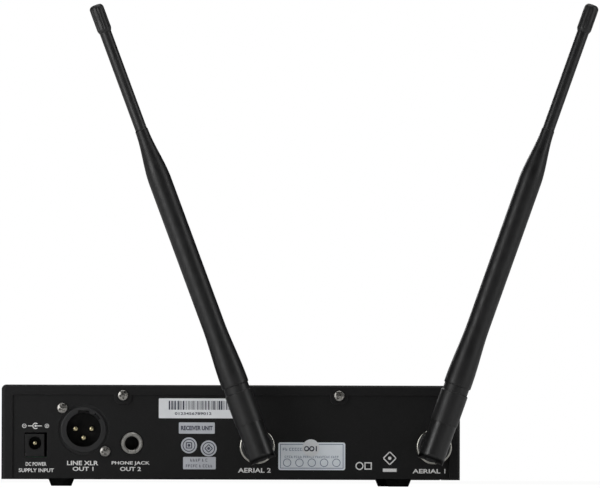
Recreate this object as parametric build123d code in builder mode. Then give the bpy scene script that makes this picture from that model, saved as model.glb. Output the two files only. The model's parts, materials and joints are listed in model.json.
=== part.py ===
"""Half-rack wireless microphone receiver with two folding whip antennas.

Millimetres. +Z is up, the front panel faces -Y and the connector panel faces +Y.
The origin is the centre of the chassis tray's underside.
"""

import os
from math import cos, radians, sin

from build123d import *

os.makedirs("parts", exist_ok=True)

# Driving dimensions of the case
width = 212.0
height = 43.2
depth = 150.0
cover_sheet = 1.0
cover_bend = 2.2
lip_bend = 1.4
cover_hang = 0.5
tray_sheet = 1.2
tray_gap = 0.3
tray_flange = 12.0
lip_height = 4.6
lip_side = 5.1
tab_width = 8.0
tab_drop = 4.2
tab_round = 2.5
tray_corner = 1.5
bushing_gap = 0.6
cover_screw_x = 50.0
cover_screw_z = 38.3
side_screw_y = 50.0
side_screw_z = 5.6
cover_screw_length = 4.5

# Feet
foot_x = 78.3
foot_y = 55.0
foot_height = 3.6
foot_top_radius = 6.15
foot_bottom_radius = 4.7
foot_seat = 1.8
foot_edge = 0.5
foot_screw_length = 5.0

# Screws
shank_radius = 1.45
tapped_radius = 1.5
clearance_radius = 1.7
head_radius = 2.5
head_height = 1.7
head_round = 1.0
head_clearance = 0.3
recess_length = 2.8
recess_width = 0.7
recess_depth = 1.0
flat_head_radius = 2.5
flat_head_gap = 0.05
flat_recess_depth = 0.6

# Front panel
front_depth = 10.0
front_wall = 3.0
front_rim = 3.0
front_edge = 1.5
pocket_corner = 1.0
panel_screw_length = 6.5
boss_radius = 3.5
front_boss_x = 98.5
front_boss_z = (7.5, 35.7)
post_radius = 3.0
post_x = 88.0
post_z = (9.6, 33.6)
control_z = 21.6
display_x = -22.0
window_size = (78.0, 28.0)
window_recess = 1.5
window_corner = 2.0
window_gap = 0.15
display_view = (70.0, 21.0)
display_module_size = (74.0, 26.0)
display_base = 2.4
display_glass = 1.6
display_border = 0.5
power_x = -76.0
menu_button_x = (29.0, 43.0, 57.0)
button_size = (10.0, 6.0)
button_corner = 1.0
button_edge = 0.5
round_button_radius = 5.0
button_flange = 0.8
round_button_flange = 1.0
switch_width = 6.0
switch_plunger_radius = 1.6
switch_plunger_height = 0.6
button_gap = 0.2
button_proud = 1.4
button_travel = 0.5
knob_x = 76.5
knob_radius = 8.0
knob_length = 12.5
shaft_radius = 3.0
shaft_gap = 0.05
shaft_cover = 3.0
knob_gap = 1.0
rib_count = 30
rib_radius = 0.45
pointer_size = (1.0, 3.6)
pointer_inset = 2.4
pointer_depth = 0.6
potentiometer_width = 12.0

# Circuit boards
board_thickness = 1.6
front_board_size = (184.0, 33.0)
front_board_gap = 4.4
front_board_screw_length = 5.0
main_board_size = (200.0, 138.0)
main_board_y = 3.5
standoff_height = 7.1
standoff_pitch = (94.0, 98.0)
standoff_y = -9.0
standoff_radius = 3.2
board_screw_length = 6.0

# Rear connectors, as (across, up) places on the rear panel
xlr_place = (68.1, 22.4)
xlr_screw_offsets = ((9.9, 10.0), (-9.9, -10.0))
xlr_flange_radius = 10.5
xlr_mouth_radius = 8.0
xlr_panel_radius = 11.7
xlr_pin_offsets = ((3.75, 0.45), (-3.75, 0.45), (0.0, -3.8))
xlr_pin_radius = 1.2
xlr_back = 46.0
xlr_insert_face = 59.0
xlr_insert_length = 8.0
xlr_plate = 3.0
xlr_body_side = 25.0
xlr_body_width = 22.0
xlr_body_corner = 2.0
xlr_latch_size = (5.2, 1.9)
xlr_key_size = (3.4, 2.0)
xlr_key_offset = 5.9
xlr_slot_depth = 12.0
xlr_screw_length = 6.0
xlr_pin_tail = 2.0
xlr_pin_round = 0.8
connector_edge = 0.4
line_jack_place = (45.8, 16.2)
line_jack_bore = 3.2
line_jack_back = 44.0
line_jack_width = 16.0
ferrule_radius = 5.0
ferrule_insert = 3.0
ferrule_edge = 0.5
spring_slot_y = 52.0
spring_slot_size = (5.0, 3.0)
spring_slot_length = 6.0
spring_width = 2.4
dc_jack_x = (86.2, 95.1)
dc_jack_top = 20.4
dc_hole_place = (90.5, 16.2)
dc_hole_radius = 3.0
dc_hole_depth = 10.0
dc_pin_radius = 1.0
dc_pin_round = 0.6
dc_back = 60.0
dc_cutout_x = (85.0, 95.3)
dc_cutout_z = (9.6, 21.1)
antenna_z = 14.9
antenna_x = (-93.4, -11.8)
antenna_names = ("a", "b")
antenna_lean = (-19.5, 20.4)

# Coaxial bayonet connector
barrel_radius = 4.8
barrel_bore = 4.1
barrel_length = 12.0
lug_reach = 5.5
lug_radius = 1.0
socket_back = 60.0
socket_body_width = 14.0
socket_fit = 0.1
contact_radius = 0.9
contact_bore = 0.55
nut_radius = 7.4
nut_thickness = 2.2
sleeve_radius = 8.2
sleeve_length = 10.8
sleeve_start = 3.2
sleeve_bore_gap = 0.15
sleeve_lug_gap = 0.25
sleeve_collar = 1.0
sleeve_collar_bore = 4.35
knurl_count = 48
knurl_radius = 0.3

# Whip antenna, with heights above the fold pivot
pivot_out = 24.6
knuckle_radius = 6.1
knuckle_end = 7.3
knuckle_top = 11.2
collar_radius = 6.4
collar_top = 26.3
collar_edge = 0.4
neck_radius = 5.9
neck_top = 29.6
boot_base_radius = 6.4
boot_edge = 0.5
boot_collar_top = 32.1
boot_body_height = 59.0
boot_radius = 5.3
taper_start = 131.6
taper_end = 156.4
boot_lip = 0.25
boot_lip_height = 0.6
rod_radius = 2.75
cap_start = 202.6
cap_radius = 3.4
tip_height = 216.0
tongue_half = 2.1
tongue_round = 3.6
pivot_pin_radius = 1.2
pivot_pin_gap = 0.05
tongue_length = 7.9
pin_end_inset = 0.4
elbow_boss_radius = 7.4
elbow_boss_edge = 0.8
elbow_neck_radius = 4.3
elbow_plug_bore = 3.3
elbow_plug_depth = 7.5
elbow_contact_radius = 0.5
elbow_contact_length = 6.3
elbow_flange = 0.8
knuckle_hole_depth = 10.0
flute_count = 8
flute_radius = 0.55
cap_skirt = 1.5
cap_crown = 1.6
cap_round = 1.4

# Derived planes and levels
rear_face = depth / 2 - cover_sheet
rear_inner = rear_face - tray_sheet
tray_half = width / 2 - cover_sheet - tray_gap
tray_wall_height = height - cover_sheet - 0.1
front_back_face = -depth / 2
front_face = front_back_face - front_depth
front_inner = front_face + front_wall
front_board_face = front_inner + front_board_gap
board_underside = tray_sheet + standoff_height
board_top = board_underside + board_thickness
rear_screw_x = (-cover_screw_x, cover_screw_x)
side_screw_planes = [
    Plane(origin=(side * width / 2, y, side_screw_z), x_dir=(0, 1, 0), z_dir=(side, 0, 0))
    for side in (-1, 1)
    for y in (-side_screw_y, side_screw_y)
]
foot_places = [(x, y) for x in (-foot_x, foot_x) for y in (-foot_y, foot_y)]


def upright(y):
    """Upright plane across the case at y; a positive extrusion runs towards the front."""
    return Plane.XZ.offset(-y)


def facing_rear(x, y, z):
    """Plane at a point, looking out of the rear of the case."""
    return Plane(origin=(x, y, z), x_dir=(1, 0, 0), z_dir=(0, 1, 0))


def grown(size, margin):
    """Width and height of a rectangle with a margin added all round."""
    return size[0] + 2 * margin, size[1] + 2 * margin


def save(piece, name):
    """Label a finished piece and write its STEP file."""
    piece.part.label = name
    export_step(piece.part, f"parts/{name}.step")


def pan_screw(length):
    """Pan-head cross-recess screw: its seat is at z = 0, its head above and its shank below."""
    with BuildPart() as screw:
        with BuildSketch():
            Circle(head_radius)
        extrude(amount=head_height)
        fillet(screw.edges().group_by(Axis.Z)[-1], radius=head_round)
        with BuildSketch():
            Circle(shank_radius)
        extrude(amount=-length)
        chamfer(screw.edges().group_by(Axis.Z)[0], length=0.5)
        with BuildSketch(Plane.XY.offset(head_height)):
            Rectangle(recess_length, recess_width)
            Rectangle(recess_width, recess_length)
        extrude(amount=-recess_depth, mode=Mode.SUBTRACT)
    return screw.part


def flat_screw(length):
    """Countersunk cross-recess screw: its head is flush at z = 0 and its shank is below."""
    with BuildPart() as screw:
        Cone(
            shank_radius,
            flat_head_radius,
            cover_sheet,
            align=(Align.CENTER, Align.CENTER, Align.MAX),
        )
        with BuildSketch():
            Circle(shank_radius)
        extrude(amount=-length)
        with BuildSketch():
            Rectangle(recess_length, recess_width)
            Rectangle(recess_width, recess_length)
        extrude(amount=-flat_recess_depth, mode=Mode.SUBTRACT)
    return screw.part


def screw_group(one, places):
    """Several copies of one screw, each on its own plane and pointing out along its normal."""
    with BuildPart() as group:
        with Locations(*places):
            add(one)
    return group


# Chassis tray: floor, rear connector panel, front wall and two side flanges in one bent sheet
tray_length = rear_face + depth / 2
tray_middle = (rear_face - depth / 2) / 2
with BuildPart() as chassis_tray:
    with BuildSketch():
        with Locations((0, tray_middle)):
            Rectangle(2 * tray_half, tray_length)
    extrude(amount=tray_sheet)
    for wall_face in (rear_face, front_back_face + tray_sheet):
        with BuildSketch(upright(wall_face)) as wall:
            Rectangle(2 * tray_half, tray_wall_height, align=(Align.CENTER, Align.MIN))
            fillet(wall.vertices().group_by(Axis.Y)[-1], radius=tray_corner)
        extrude(amount=tray_sheet)
    with BuildSketch():
        with Locations((0, tray_middle)):
            with GridLocations(2 * tray_half - tray_sheet, 0, 2, 1):
                Rectangle(tray_sheet, tray_length)
    extrude(amount=tray_flange)
    # Connector openings and cover screw holes in the rear panel
    with BuildSketch(upright(rear_face)):
        with Locations(xlr_place):
            Circle(xlr_panel_radius)
            with Locations(*xlr_screw_offsets):
                Circle(clearance_radius)
        with Locations(line_jack_place):
            Circle(ferrule_radius + bushing_gap)
        with Locations((dc_cutout_x[0], dc_cutout_z[0])):
            Rectangle(
                dc_cutout_x[1] - dc_cutout_x[0],
                dc_cutout_z[1] - dc_cutout_z[0],
                align=(Align.MIN, Align.MIN),
            )
        with Locations(*[(x, antenna_z) for x in antenna_x]):
            Circle(barrel_radius + socket_fit)
        with Locations(*[(x, cover_screw_z) for x in rear_screw_x]):
            Circle(tapped_radius)
    extrude(amount=tray_sheet, mode=Mode.SUBTRACT)
    # Opening behind the display board, and holes for the front panel's screws
    with BuildSketch(upright(front_back_face + tray_sheet)):
        with Locations((0, control_z)):
            Rectangle(*front_board_size)
        with Locations(*[(x, z) for x in (-front_boss_x, front_boss_x) for z in front_boss_z]):
            Circle(clearance_radius)
    extrude(amount=tray_sheet, mode=Mode.SUBTRACT)
    # Side screw holes through both flanges
    with BuildSketch(Plane.YZ):
        with Locations((-side_screw_y, side_screw_z), (side_screw_y, side_screw_z)):
            Circle(tapped_radius)
    extrude(amount=width, both=True, mode=Mode.SUBTRACT)
    # Foot screw and standoff holes through the floor
    with BuildSketch():
        with Locations(*foot_places):
            Circle(tapped_radius)
        with Locations((0, standoff_y)):
            with GridLocations(*standoff_pitch, 3, 2):
                Circle(tapped_radius)
    extrude(amount=tray_sheet, mode=Mode.SUBTRACT)
save(chassis_tray, "chassis_tray")

# Top cover: bent sheet over the top and both sides, with a narrow lip turned in at the rear
with BuildPart() as top_cover:
    with BuildSketch(upright(depth / 2)) as outer:
        with Locations((0, -cover_hang)):
            Rectangle(width, height + cover_hang, align=(Align.CENTER, Align.MIN))
        fillet(outer.vertices().group_by(Axis.Y)[-1], radius=cover_bend)
    extrude(amount=depth)
    rear_outline = top_cover.faces().sort_by(Axis.Y)[-1].edges().sort_by(Axis.Z)
    fillet(rear_outline[1:], radius=lip_bend)
    with BuildSketch(upright(rear_face)) as inner:
        with Locations((0, -cover_hang)):
            Rectangle(
                width - 2 * cover_sheet,
                height + cover_hang - cover_sheet,
                align=(Align.CENTER, Align.MIN),
            )
        fillet(inner.vertices().group_by(Axis.Y)[-1], radius=cover_bend - cover_sheet)
    extrude(amount=depth, mode=Mode.SUBTRACT)
    # Window in the rear, which leaves the lip and a tab below each rear screw
    with BuildSketch(upright(depth / 2)) as window:
        with Locations((0, -cover_hang)):
            Rectangle(
                width - 2 * lip_side,
                height - lip_height + cover_hang,
                align=(Align.CENTER, Align.MIN),
            )
        with Locations(*[(x, height - lip_height) for x in rear_screw_x]):
            Rectangle(tab_width, 2 * tab_drop, mode=Mode.SUBTRACT)
        fillet(window.vertices().group_by(Axis.Y)[1], radius=tab_round)
    extrude(amount=cover_sheet, mode=Mode.SUBTRACT)
    with BuildSketch(upright(depth / 2)):
        with Locations(*[(x, cover_screw_z) for x in rear_screw_x]):
            Circle(clearance_radius)
    extrude(amount=cover_sheet, mode=Mode.SUBTRACT)
    # Countersunk holes in both sides
    with Locations(*side_screw_planes):
        Cone(
            clearance_radius,
            flat_head_radius + flat_head_gap,
            cover_sheet,
            align=(Align.CENTER, Align.CENTER, Align.MAX),
            mode=Mode.SUBTRACT,
        )
save(top_cover, "top_cover")

cover_rear_screws = screw_group(
    pan_screw(cover_screw_length), [facing_rear(x, depth / 2, cover_screw_z) for x in rear_screw_x]
)
save(cover_rear_screws, "cover_rear_screws")

cover_side_screws = screw_group(flat_screw(cover_screw_length), side_screw_planes)
save(cover_side_screws, "cover_side_screws")

# Rubber feet: cones with a sunk screw seat
with BuildPart() as rubber_feet:
    with Locations(*[(x, y, 0) for x, y in foot_places]):
        Cone(
            foot_bottom_radius,
            foot_top_radius,
            foot_height,
            align=(Align.CENTER, Align.CENTER, Align.MAX),
        )
    fillet(rubber_feet.edges().group_by(Axis.Z)[0], radius=foot_edge)
    with BuildSketch(Plane.XY.offset(-foot_height)):
        with Locations(*foot_places):
            Circle(head_radius + head_clearance)
    extrude(amount=foot_seat, mode=Mode.SUBTRACT)
    with BuildSketch(Plane.XY.offset(-foot_height)):
        with Locations(*foot_places):
            Circle(tapped_radius)
    extrude(amount=foot_height, mode=Mode.SUBTRACT)
save(rubber_feet, "rubber_feet")

foot_screws = screw_group(
    pan_screw(foot_screw_length),
    [
        Plane(origin=(x, y, foot_seat - foot_height), x_dir=(1, 0, 0), z_dir=(0, 0, -1))
        for x, y in foot_places
    ],
)
save(foot_screws, "foot_screws")

# Front panel: shallow moulding with a display window, key openings and screw bosses
with BuildPart() as front_panel:
    with BuildSketch(upright(front_back_face)):
        with Locations((0, -cover_hang)):
            Rectangle(width, height + cover_hang, align=(Align.CENTER, Align.MIN))
    extrude(amount=front_depth)
    fillet(front_panel.edges().filter_by(Axis.Y), radius=cover_bend)
    fillet(front_panel.faces().sort_by(Axis.Y)[0].outer_wire().edges(), radius=front_edge)
    with BuildSketch(upright(front_back_face)) as pocket:
        with Locations((0, height / 2)):
            Rectangle(width - 2 * front_rim, height - 2 * front_rim)
        fillet(pocket.vertices(), radius=pocket_corner)
    extrude(amount=front_depth - front_wall, mode=Mode.SUBTRACT)
    with BuildSketch(upright(front_back_face)):
        with Locations(*[(x, z) for x in (-front_boss_x, front_boss_x) for z in front_boss_z]):
            Circle(boss_radius)
    extrude(amount=front_depth - front_wall)
    with BuildSketch(upright(front_board_face)):
        with Locations(*[(x, z) for x in (-post_x, post_x) for z in post_z]):
            Circle(post_radius)
    extrude(amount=front_board_gap)
    with BuildSketch(upright(front_back_face)):
        with Locations(*[(x, z) for x in (-front_boss_x, front_boss_x) for z in front_boss_z]):
            Circle(tapped_radius)
        with Locations(*[(x, z) for x in (-post_x, post_x) for z in post_z]):
            Circle(tapped_radius)
    extrude(amount=front_depth - front_wall, mode=Mode.SUBTRACT)
    # Recess and view opening for the display window
    with BuildSketch(upright(front_face)) as recess:
        with Locations((display_x, control_z)):
            Rectangle(*window_size)
        fillet(recess.vertices(), radius=window_corner)
    extrude(amount=-window_recess, mode=Mode.SUBTRACT)
    with BuildSketch(upright(front_face)):
        with Locations((display_x, control_z)):
            Rectangle(*display_view)
        with Locations((power_x, control_z), (knob_x, control_z)):
            Circle(round_button_radius + button_gap)
        with Locations(*[(x, control_z) for x in menu_button_x]):
            RectangleRounded(*grown(button_size, button_gap), button_corner + button_gap)
    extrude(amount=-front_wall, mode=Mode.SUBTRACT)
save(front_panel, "front_panel")

front_panel_screws = screw_group(
    pan_screw(panel_screw_length),
    [
        facing_rear(x, front_back_face + tray_sheet, z)
        for x in (-front_boss_x, front_boss_x)
        for z in front_boss_z
    ],
)
save(front_panel_screws, "front_panel_screws")

with BuildPart() as display_window:
    with BuildSketch(upright(front_face + window_recess)) as pane:
        with Locations((display_x, control_z)):
            Rectangle(*grown(window_size, -window_gap))
        fillet(pane.vertices(), radius=window_corner - window_gap)
    extrude(amount=window_recess)
save(display_window, "display_window")

with BuildPart() as display_module:
    with BuildSketch(upright(front_board_face)):
        with Locations((display_x, control_z)):
            Rectangle(*display_module_size)
    extrude(amount=display_base)
    with BuildSketch(upright(front_board_face - display_base)):
        with Locations((display_x, control_z)):
            Rectangle(*grown(display_view, display_border))
    extrude(amount=display_glass)
save(display_module, "display_module")

with BuildPart() as front_board:
    with BuildSketch(upright(front_board_face + board_thickness)):
        with Locations((0, control_z)):
            Rectangle(*front_board_size)
        with Locations(*[(x, z) for x in (-post_x, post_x) for z in post_z]):
            Circle(clearance_radius, mode=Mode.SUBTRACT)
    extrude(amount=board_thickness)
save(front_board, "front_board")

front_board_screws = screw_group(
    pan_screw(front_board_screw_length),
    [
        facing_rear(x, front_board_face + board_thickness, z)
        for x in (-post_x, post_x)
        for z in post_z
    ],
)
save(front_board_screws, "front_board_screws")

# Push keys: a cap through the wall, a flange behind it, and a tactile switch on the board
flange_gap = 0.1
flange_front = front_inner + flange_gap
flange_thickness = 0.9
plunger_front = flange_front + flange_thickness + button_travel + flange_gap


def push_key(x, outline, flange_outline):
    """One key whose cap and hidden flange follow the given outlines."""
    with BuildPart() as key:
        with BuildSketch(upright(flange_front + flange_thickness)):
            with Locations((x, control_z)):
                add(flange_outline)
        extrude(amount=flange_thickness)
        with BuildSketch(upright(flange_front)):
            with Locations((x, control_z)):
                add(outline)
        extrude(amount=flange_front - front_face + button_proud)
        fillet(key.faces().sort_by(Axis.Y)[0].edges(), radius=button_edge)
    return key


with BuildSketch() as round_cap:
    Circle(round_button_radius)
with BuildSketch() as round_flange:
    Circle(round_button_radius + round_button_flange)
with BuildSketch() as menu_cap:
    RectangleRounded(*button_size, button_corner)
with BuildSketch() as menu_flange:
    RectangleRounded(*grown(button_size, button_flange), button_corner + button_flange)

save(push_key(power_x, round_cap.sketch, round_flange.sketch), "power_button")
for button_name, button_x in zip(("down_button", "up_button", "set_button"), menu_button_x, strict=True):
    save(push_key(button_x, menu_cap.sketch, menu_flange.sketch), button_name)

switch_x = (power_x, *menu_button_x)
with BuildPart() as key_switches:
    with BuildSketch(upright(front_board_face)):
        with Locations(*[(x, control_z) for x in switch_x]):
            Rectangle(switch_width, switch_width)
    extrude(amount=front_board_face - plunger_front - switch_plunger_height)
    with BuildSketch(upright(front_board_face)):
        with Locations(*[(x, control_z) for x in switch_x]):
            Circle(switch_plunger_radius)
    extrude(amount=front_board_face - plunger_front)
save(key_switches, "key_switches")

# Volume control: potentiometer on the board, shaft through the wall and a ribbed knob
pot_front = front_inner + 0.2
shaft_pocket = front_board_face - 1.0
shaft_end = shaft_pocket - 0.1
knob_back = front_face - knob_gap
knob_front = knob_back - knob_length
with BuildPart() as volume_potentiometer:
    with BuildSketch(upright(front_board_face)):
        with Locations((knob_x, control_z)):
            Rectangle(potentiometer_width, potentiometer_width)
    extrude(amount=front_board_face - pot_front)
    with BuildSketch(upright(shaft_pocket)):
        with Locations((knob_x, control_z)):
            Circle(shaft_radius + shaft_gap)
    extrude(amount=shaft_pocket - pot_front, mode=Mode.SUBTRACT)
save(volume_potentiometer, "volume_potentiometer")

with BuildPart() as volume_shaft:
    with BuildSketch(upright(shaft_end)):
        with Locations((knob_x, control_z)):
            Circle(shaft_radius)
    extrude(amount=shaft_end - knob_front - shaft_cover)
save(volume_shaft, "volume_shaft")

with BuildPart() as volume_knob:
    with BuildSketch(upright(knob_back)):
        with Locations((knob_x, control_z)):
            Circle(knob_radius)
            with PolarLocations(knob_radius + rib_radius / 3, rib_count):
                Circle(rib_radius, mode=Mode.SUBTRACT)
    extrude(amount=knob_length)
    with BuildSketch(upright(knob_front + pointer_depth)):
        with Locations((knob_x, control_z + knob_radius - pointer_inset)):
            Rectangle(*pointer_size)
    extrude(amount=pointer_depth, mode=Mode.SUBTRACT)
    with BuildSketch(upright(knob_back)):
        with Locations((knob_x, control_z)):
            Circle(shaft_radius)
    extrude(amount=knob_length - shaft_cover, mode=Mode.SUBTRACT)
save(volume_knob, "volume_knob")

# Main board on six hexagonal standoffs
standoff_places = [
    (x, y + standoff_y)
    for x in (-standoff_pitch[0], 0, standoff_pitch[0])
    for y in (-standoff_pitch[1] / 2, standoff_pitch[1] / 2)
]
with BuildPart() as board_standoffs:
    with BuildSketch(Plane.XY.offset(tray_sheet)):
        with Locations(*standoff_places):
            RegularPolygon(radius=standoff_radius, side_count=6)
            Circle(tapped_radius, mode=Mode.SUBTRACT)
    extrude(amount=standoff_height)
save(board_standoffs, "board_standoffs")

with BuildPart() as main_board:
    with BuildSketch(Plane.XY.offset(board_underside)):
        with Locations((0, main_board_y)):
            Rectangle(*main_board_size)
        with Locations(*standoff_places):
            Circle(clearance_radius, mode=Mode.SUBTRACT)
    extrude(amount=board_thickness)
save(main_board, "main_board")

board_screws = screw_group(
    pan_screw(board_screw_length), [Plane(origin=(x, y, board_top)) for x, y in standoff_places]
)
save(board_screws, "board_screws")

# Screened tuner modules, one for each antenna
tuner_size = (34.0, 30.0)
tuner_height = 8.0
tuner_places = ((-72.0, 38.0), (-24.0, 38.0))
tuner_edge = 0.6
trimmer_spacing = (24.0, 20.0)
trimmer_radius = 1.2
trimmer_depth = 0.5
with BuildPart() as tuner_cans:
    with BuildSketch(Plane.XY.offset(board_top)):
        with Locations(*tuner_places):
            Rectangle(*tuner_size)
    extrude(amount=tuner_height)
    fillet(tuner_cans.edges().group_by(Axis.Z)[-1], radius=tuner_edge)
    with BuildSketch(Plane.XY.offset(board_top + tuner_height)):
        with Locations(*tuner_places):
            with GridLocations(*trimmer_spacing, 2, 2):
                Circle(trimmer_radius)
    extrude(amount=-trimmer_depth, mode=Mode.SUBTRACT)
save(tuner_cans, "tuner_cans")

# Power supply parts: electrolytic capacitors, regulator and its finned heat sink
capacitor_places = ((84.0, 24.0), (70.0, 24.0), (56.0, 24.0))
capacitor_radius = 5.0
capacitor_height = 16.0
capacitor_edge = 0.8
with BuildPart() as electrolytic_capacitors:
    with BuildSketch(Plane.XY.offset(board_top)):
        with Locations(*capacitor_places):
            Circle(capacitor_radius)
    extrude(amount=capacitor_height)
    fillet(electrolytic_capacitors.edges().group_by(Axis.Z)[-1], radius=capacitor_edge)
save(electrolytic_capacitors, "electrolytic_capacitors")

sink_place = (84.0, -10.0)
sink_size = (22.0, 12.0)
sink_height = 20.0
sink_back = 3.0
fin_pitch = 3.6
fin_gap = 2.0
fin_gap_count = 6
with BuildPart() as heat_sink:
    with BuildSketch(Plane.XY.offset(board_top)):
        with Locations(sink_place):
            Rectangle(*sink_size)
            with Locations((0, sink_back / 2)):
                with GridLocations(fin_pitch, 0, fin_gap_count, 1):
                    Rectangle(fin_gap, sink_size[1] - sink_back, mode=Mode.SUBTRACT)
    extrude(amount=sink_height)
save(heat_sink, "heat_sink")

regulator_size = (10.0, 4.5)
regulator_body = 15.0
regulator_legs = 3.0
leg_size = (0.9, 0.6)
leg_pitch = 2.54
regulator_place = (sink_place[0], sink_place[1] - (sink_size[1] + regulator_size[1]) / 2)
with BuildPart() as voltage_regulator:
    with BuildSketch(Plane.XY.offset(board_top + regulator_legs)):
        with Locations(regulator_place):
            Rectangle(*regulator_size)
    extrude(amount=regulator_body)
    with BuildSketch(Plane.XY.offset(board_top)):
        with Locations(regulator_place):
            with GridLocations(leg_pitch, 0, 3, 1):
                Rectangle(*leg_size)
    extrude(amount=regulator_legs)
save(voltage_regulator, "voltage_regulator")

chip_height = 1.8
chip_edge = 0.3
chips = (
    ((18.0, -8.0), (14.0, 14.0)),
    ((-44.0, -18.0), (12.0, 12.0)),
    ((36.0, 18.0), (6.0, 9.0)),
    ((20.0, 18.0), (6.0, 9.0)),
)
with BuildPart() as board_chips:
    with BuildSketch(Plane.XY.offset(board_top)):
        for chip_place, chip_size in chips:
            with Locations(chip_place):
                Rectangle(*chip_size)
    extrude(amount=chip_height)
    chamfer(board_chips.edges().group_by(Axis.Z)[-1], length=chip_edge)
save(board_chips, "board_chips")

# Ribbon cable from the display board down to the main board, with a socket at each end
ribbon_x = -22.0
ribbon_width = 20.0
ribbon_thickness = 0.9
ribbon_level = 29.0
ribbon_socket_size = (24.0, 6.0)
ribbon_socket_height = 6.0
front_socket_face = front_board_face + board_thickness + ribbon_socket_height
main_socket_y = -46.0
main_socket_top = board_top + ribbon_socket_height
with BuildPart() as ribbon_sockets:
    with BuildSketch(upright(front_socket_face)):
        with Locations((ribbon_x, ribbon_level)):
            Rectangle(*ribbon_socket_size)
    extrude(amount=ribbon_socket_height)
    with BuildSketch(Plane.XY.offset(board_top)):
        with Locations((ribbon_x, main_socket_y)):
            Rectangle(*ribbon_socket_size)
    extrude(amount=ribbon_socket_height)
save(ribbon_sockets, "ribbon_sockets")

ribbon_radius = 0.45 * (ribbon_level - main_socket_top)
print("ribbon cable bend radius", round(ribbon_radius, 2))
with BuildPart() as ribbon_cable:
    with BuildLine() as ribbon_route:
        FilletPolyline(
            (ribbon_x, front_socket_face, ribbon_level),
            (ribbon_x, main_socket_y, ribbon_level),
            (ribbon_x, main_socket_y, main_socket_top),
            radius=ribbon_radius,
        )
    with BuildSketch(upright(front_socket_face)):
        with Locations((ribbon_x, ribbon_level)):
            Rectangle(ribbon_width, ribbon_thickness)
    sweep(path=ribbon_route.wire())
save(ribbon_cable, "ribbon_cable")

# Three-pin male audio connector
xlr_x, xlr_z = xlr_place
xlr_face = rear_face + 0.6
xlr_pin_tip = xlr_face - 2.6
with BuildPart() as xlr_shell:
    with BuildSketch(upright(rear_inner)):
        with Locations((xlr_x, xlr_z)):
            RectangleRounded(xlr_body_side, xlr_body_side, xlr_body_corner)
    extrude(amount=xlr_plate)
    with BuildSketch(upright(rear_inner - xlr_plate)):
        with Locations((xlr_x, xlr_z)):
            RectangleRounded(xlr_body_width, xlr_body_side, xlr_body_corner)
    extrude(amount=rear_inner - xlr_plate - xlr_back)
    with BuildSketch(upright(xlr_face)):
        with Locations((xlr_x, xlr_z)):
            Circle(xlr_flange_radius)
    extrude(amount=xlr_face - rear_inner)
    fillet(xlr_shell.faces().sort_by(Axis.Y)[-1].edges(), radius=connector_edge)
    with BuildSketch(upright(xlr_face)):
        with Locations((xlr_x, xlr_z)):
            Circle(xlr_mouth_radius)
    extrude(amount=xlr_face - xlr_back, mode=Mode.SUBTRACT)
    # Latch slot at the top and the narrow key slot beside it
    with BuildSketch(upright(xlr_face)):
        with Locations((xlr_x, xlr_z + xlr_mouth_radius)):
            Rectangle(*xlr_latch_size)
        with Locations((xlr_x - xlr_key_offset, xlr_z + xlr_key_offset)):
            Rectangle(*xlr_key_size, rotation=45)
    extrude(amount=xlr_slot_depth, mode=Mode.SUBTRACT)
    with BuildSketch(upright(rear_inner)):
        with Locations((xlr_x, xlr_z)):
            with Locations(*xlr_screw_offsets):
                Circle(tapped_radius)
    extrude(amount=xlr_screw_length + xlr_plate, mode=Mode.SUBTRACT)
save(xlr_shell, "xlr_shell")

with BuildPart() as xlr_insert:
    with BuildSketch(upright(xlr_insert_face)):
        with Locations((xlr_x, xlr_z)):
            Circle(xlr_mouth_radius)
            with Locations(*xlr_pin_offsets):
                Circle(xlr_pin_radius, mode=Mode.SUBTRACT)
    extrude(amount=xlr_insert_length)
save(xlr_insert, "xlr_insert")

with BuildPart() as xlr_pins:
    with BuildSketch(upright(xlr_pin_tip)):
        with Locations((xlr_x, xlr_z)):
            with Locations(*xlr_pin_offsets):
                Circle(xlr_pin_radius)
    extrude(amount=xlr_pin_tip - xlr_back + xlr_pin_tail)
    fillet(xlr_pins.edges().group_by(Axis.Y)[-1], radius=xlr_pin_round)
save(xlr_pins, "xlr_pins")

xlr_screws = screw_group(
    pan_screw(xlr_screw_length),
    [facing_rear(xlr_x + x, rear_face, xlr_z + z) for x, z in xlr_screw_offsets],
)
save(xlr_screws, "xlr_screws")

# Quarter-inch line output jack
jack_x, jack_z = line_jack_place
jack_front = rear_inner - 0.2
jack_end_wall = 1.5
ferrule_face = rear_face + 0.9
with BuildPart() as line_jack_body:
    with BuildSketch(upright(jack_front)):
        with Locations((jack_x, board_top)):
            Rectangle(
                line_jack_width,
                2 * (jack_z - board_top),
                align=(Align.CENTER, Align.MIN),
            )
    extrude(amount=jack_front - line_jack_back)
    with BuildSketch(upright(jack_front)):
        with Locations((jack_x, jack_z)):
            Circle(ferrule_radius)
    extrude(amount=ferrule_insert, mode=Mode.SUBTRACT)
    with BuildSketch(upright(jack_front)):
        with Locations((jack_x, jack_z)):
            Circle(line_jack_bore)
    extrude(amount=jack_front - line_jack_back - jack_end_wall, mode=Mode.SUBTRACT)
    # Side slot where the tip spring reaches into the bore
    with BuildSketch(upright(spring_slot_y)):
        with Locations((jack_x + spring_slot_size[0], jack_z)):
            Rectangle(*spring_slot_size)
    extrude(amount=spring_slot_length, mode=Mode.SUBTRACT)
save(line_jack_body, "line_jack_body")

with BuildPart() as line_jack_ferrule:
    with BuildSketch(upright(ferrule_face)):
        with Locations((jack_x, jack_z)):
            Circle(ferrule_radius)
            Circle(line_jack_bore, mode=Mode.SUBTRACT)
    extrude(amount=ferrule_face - jack_front + ferrule_insert)
    chamfer(line_jack_ferrule.faces().sort_by(Axis.Y)[-1].edges(), length=ferrule_edge)
save(line_jack_ferrule, "line_jack_ferrule")

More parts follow.
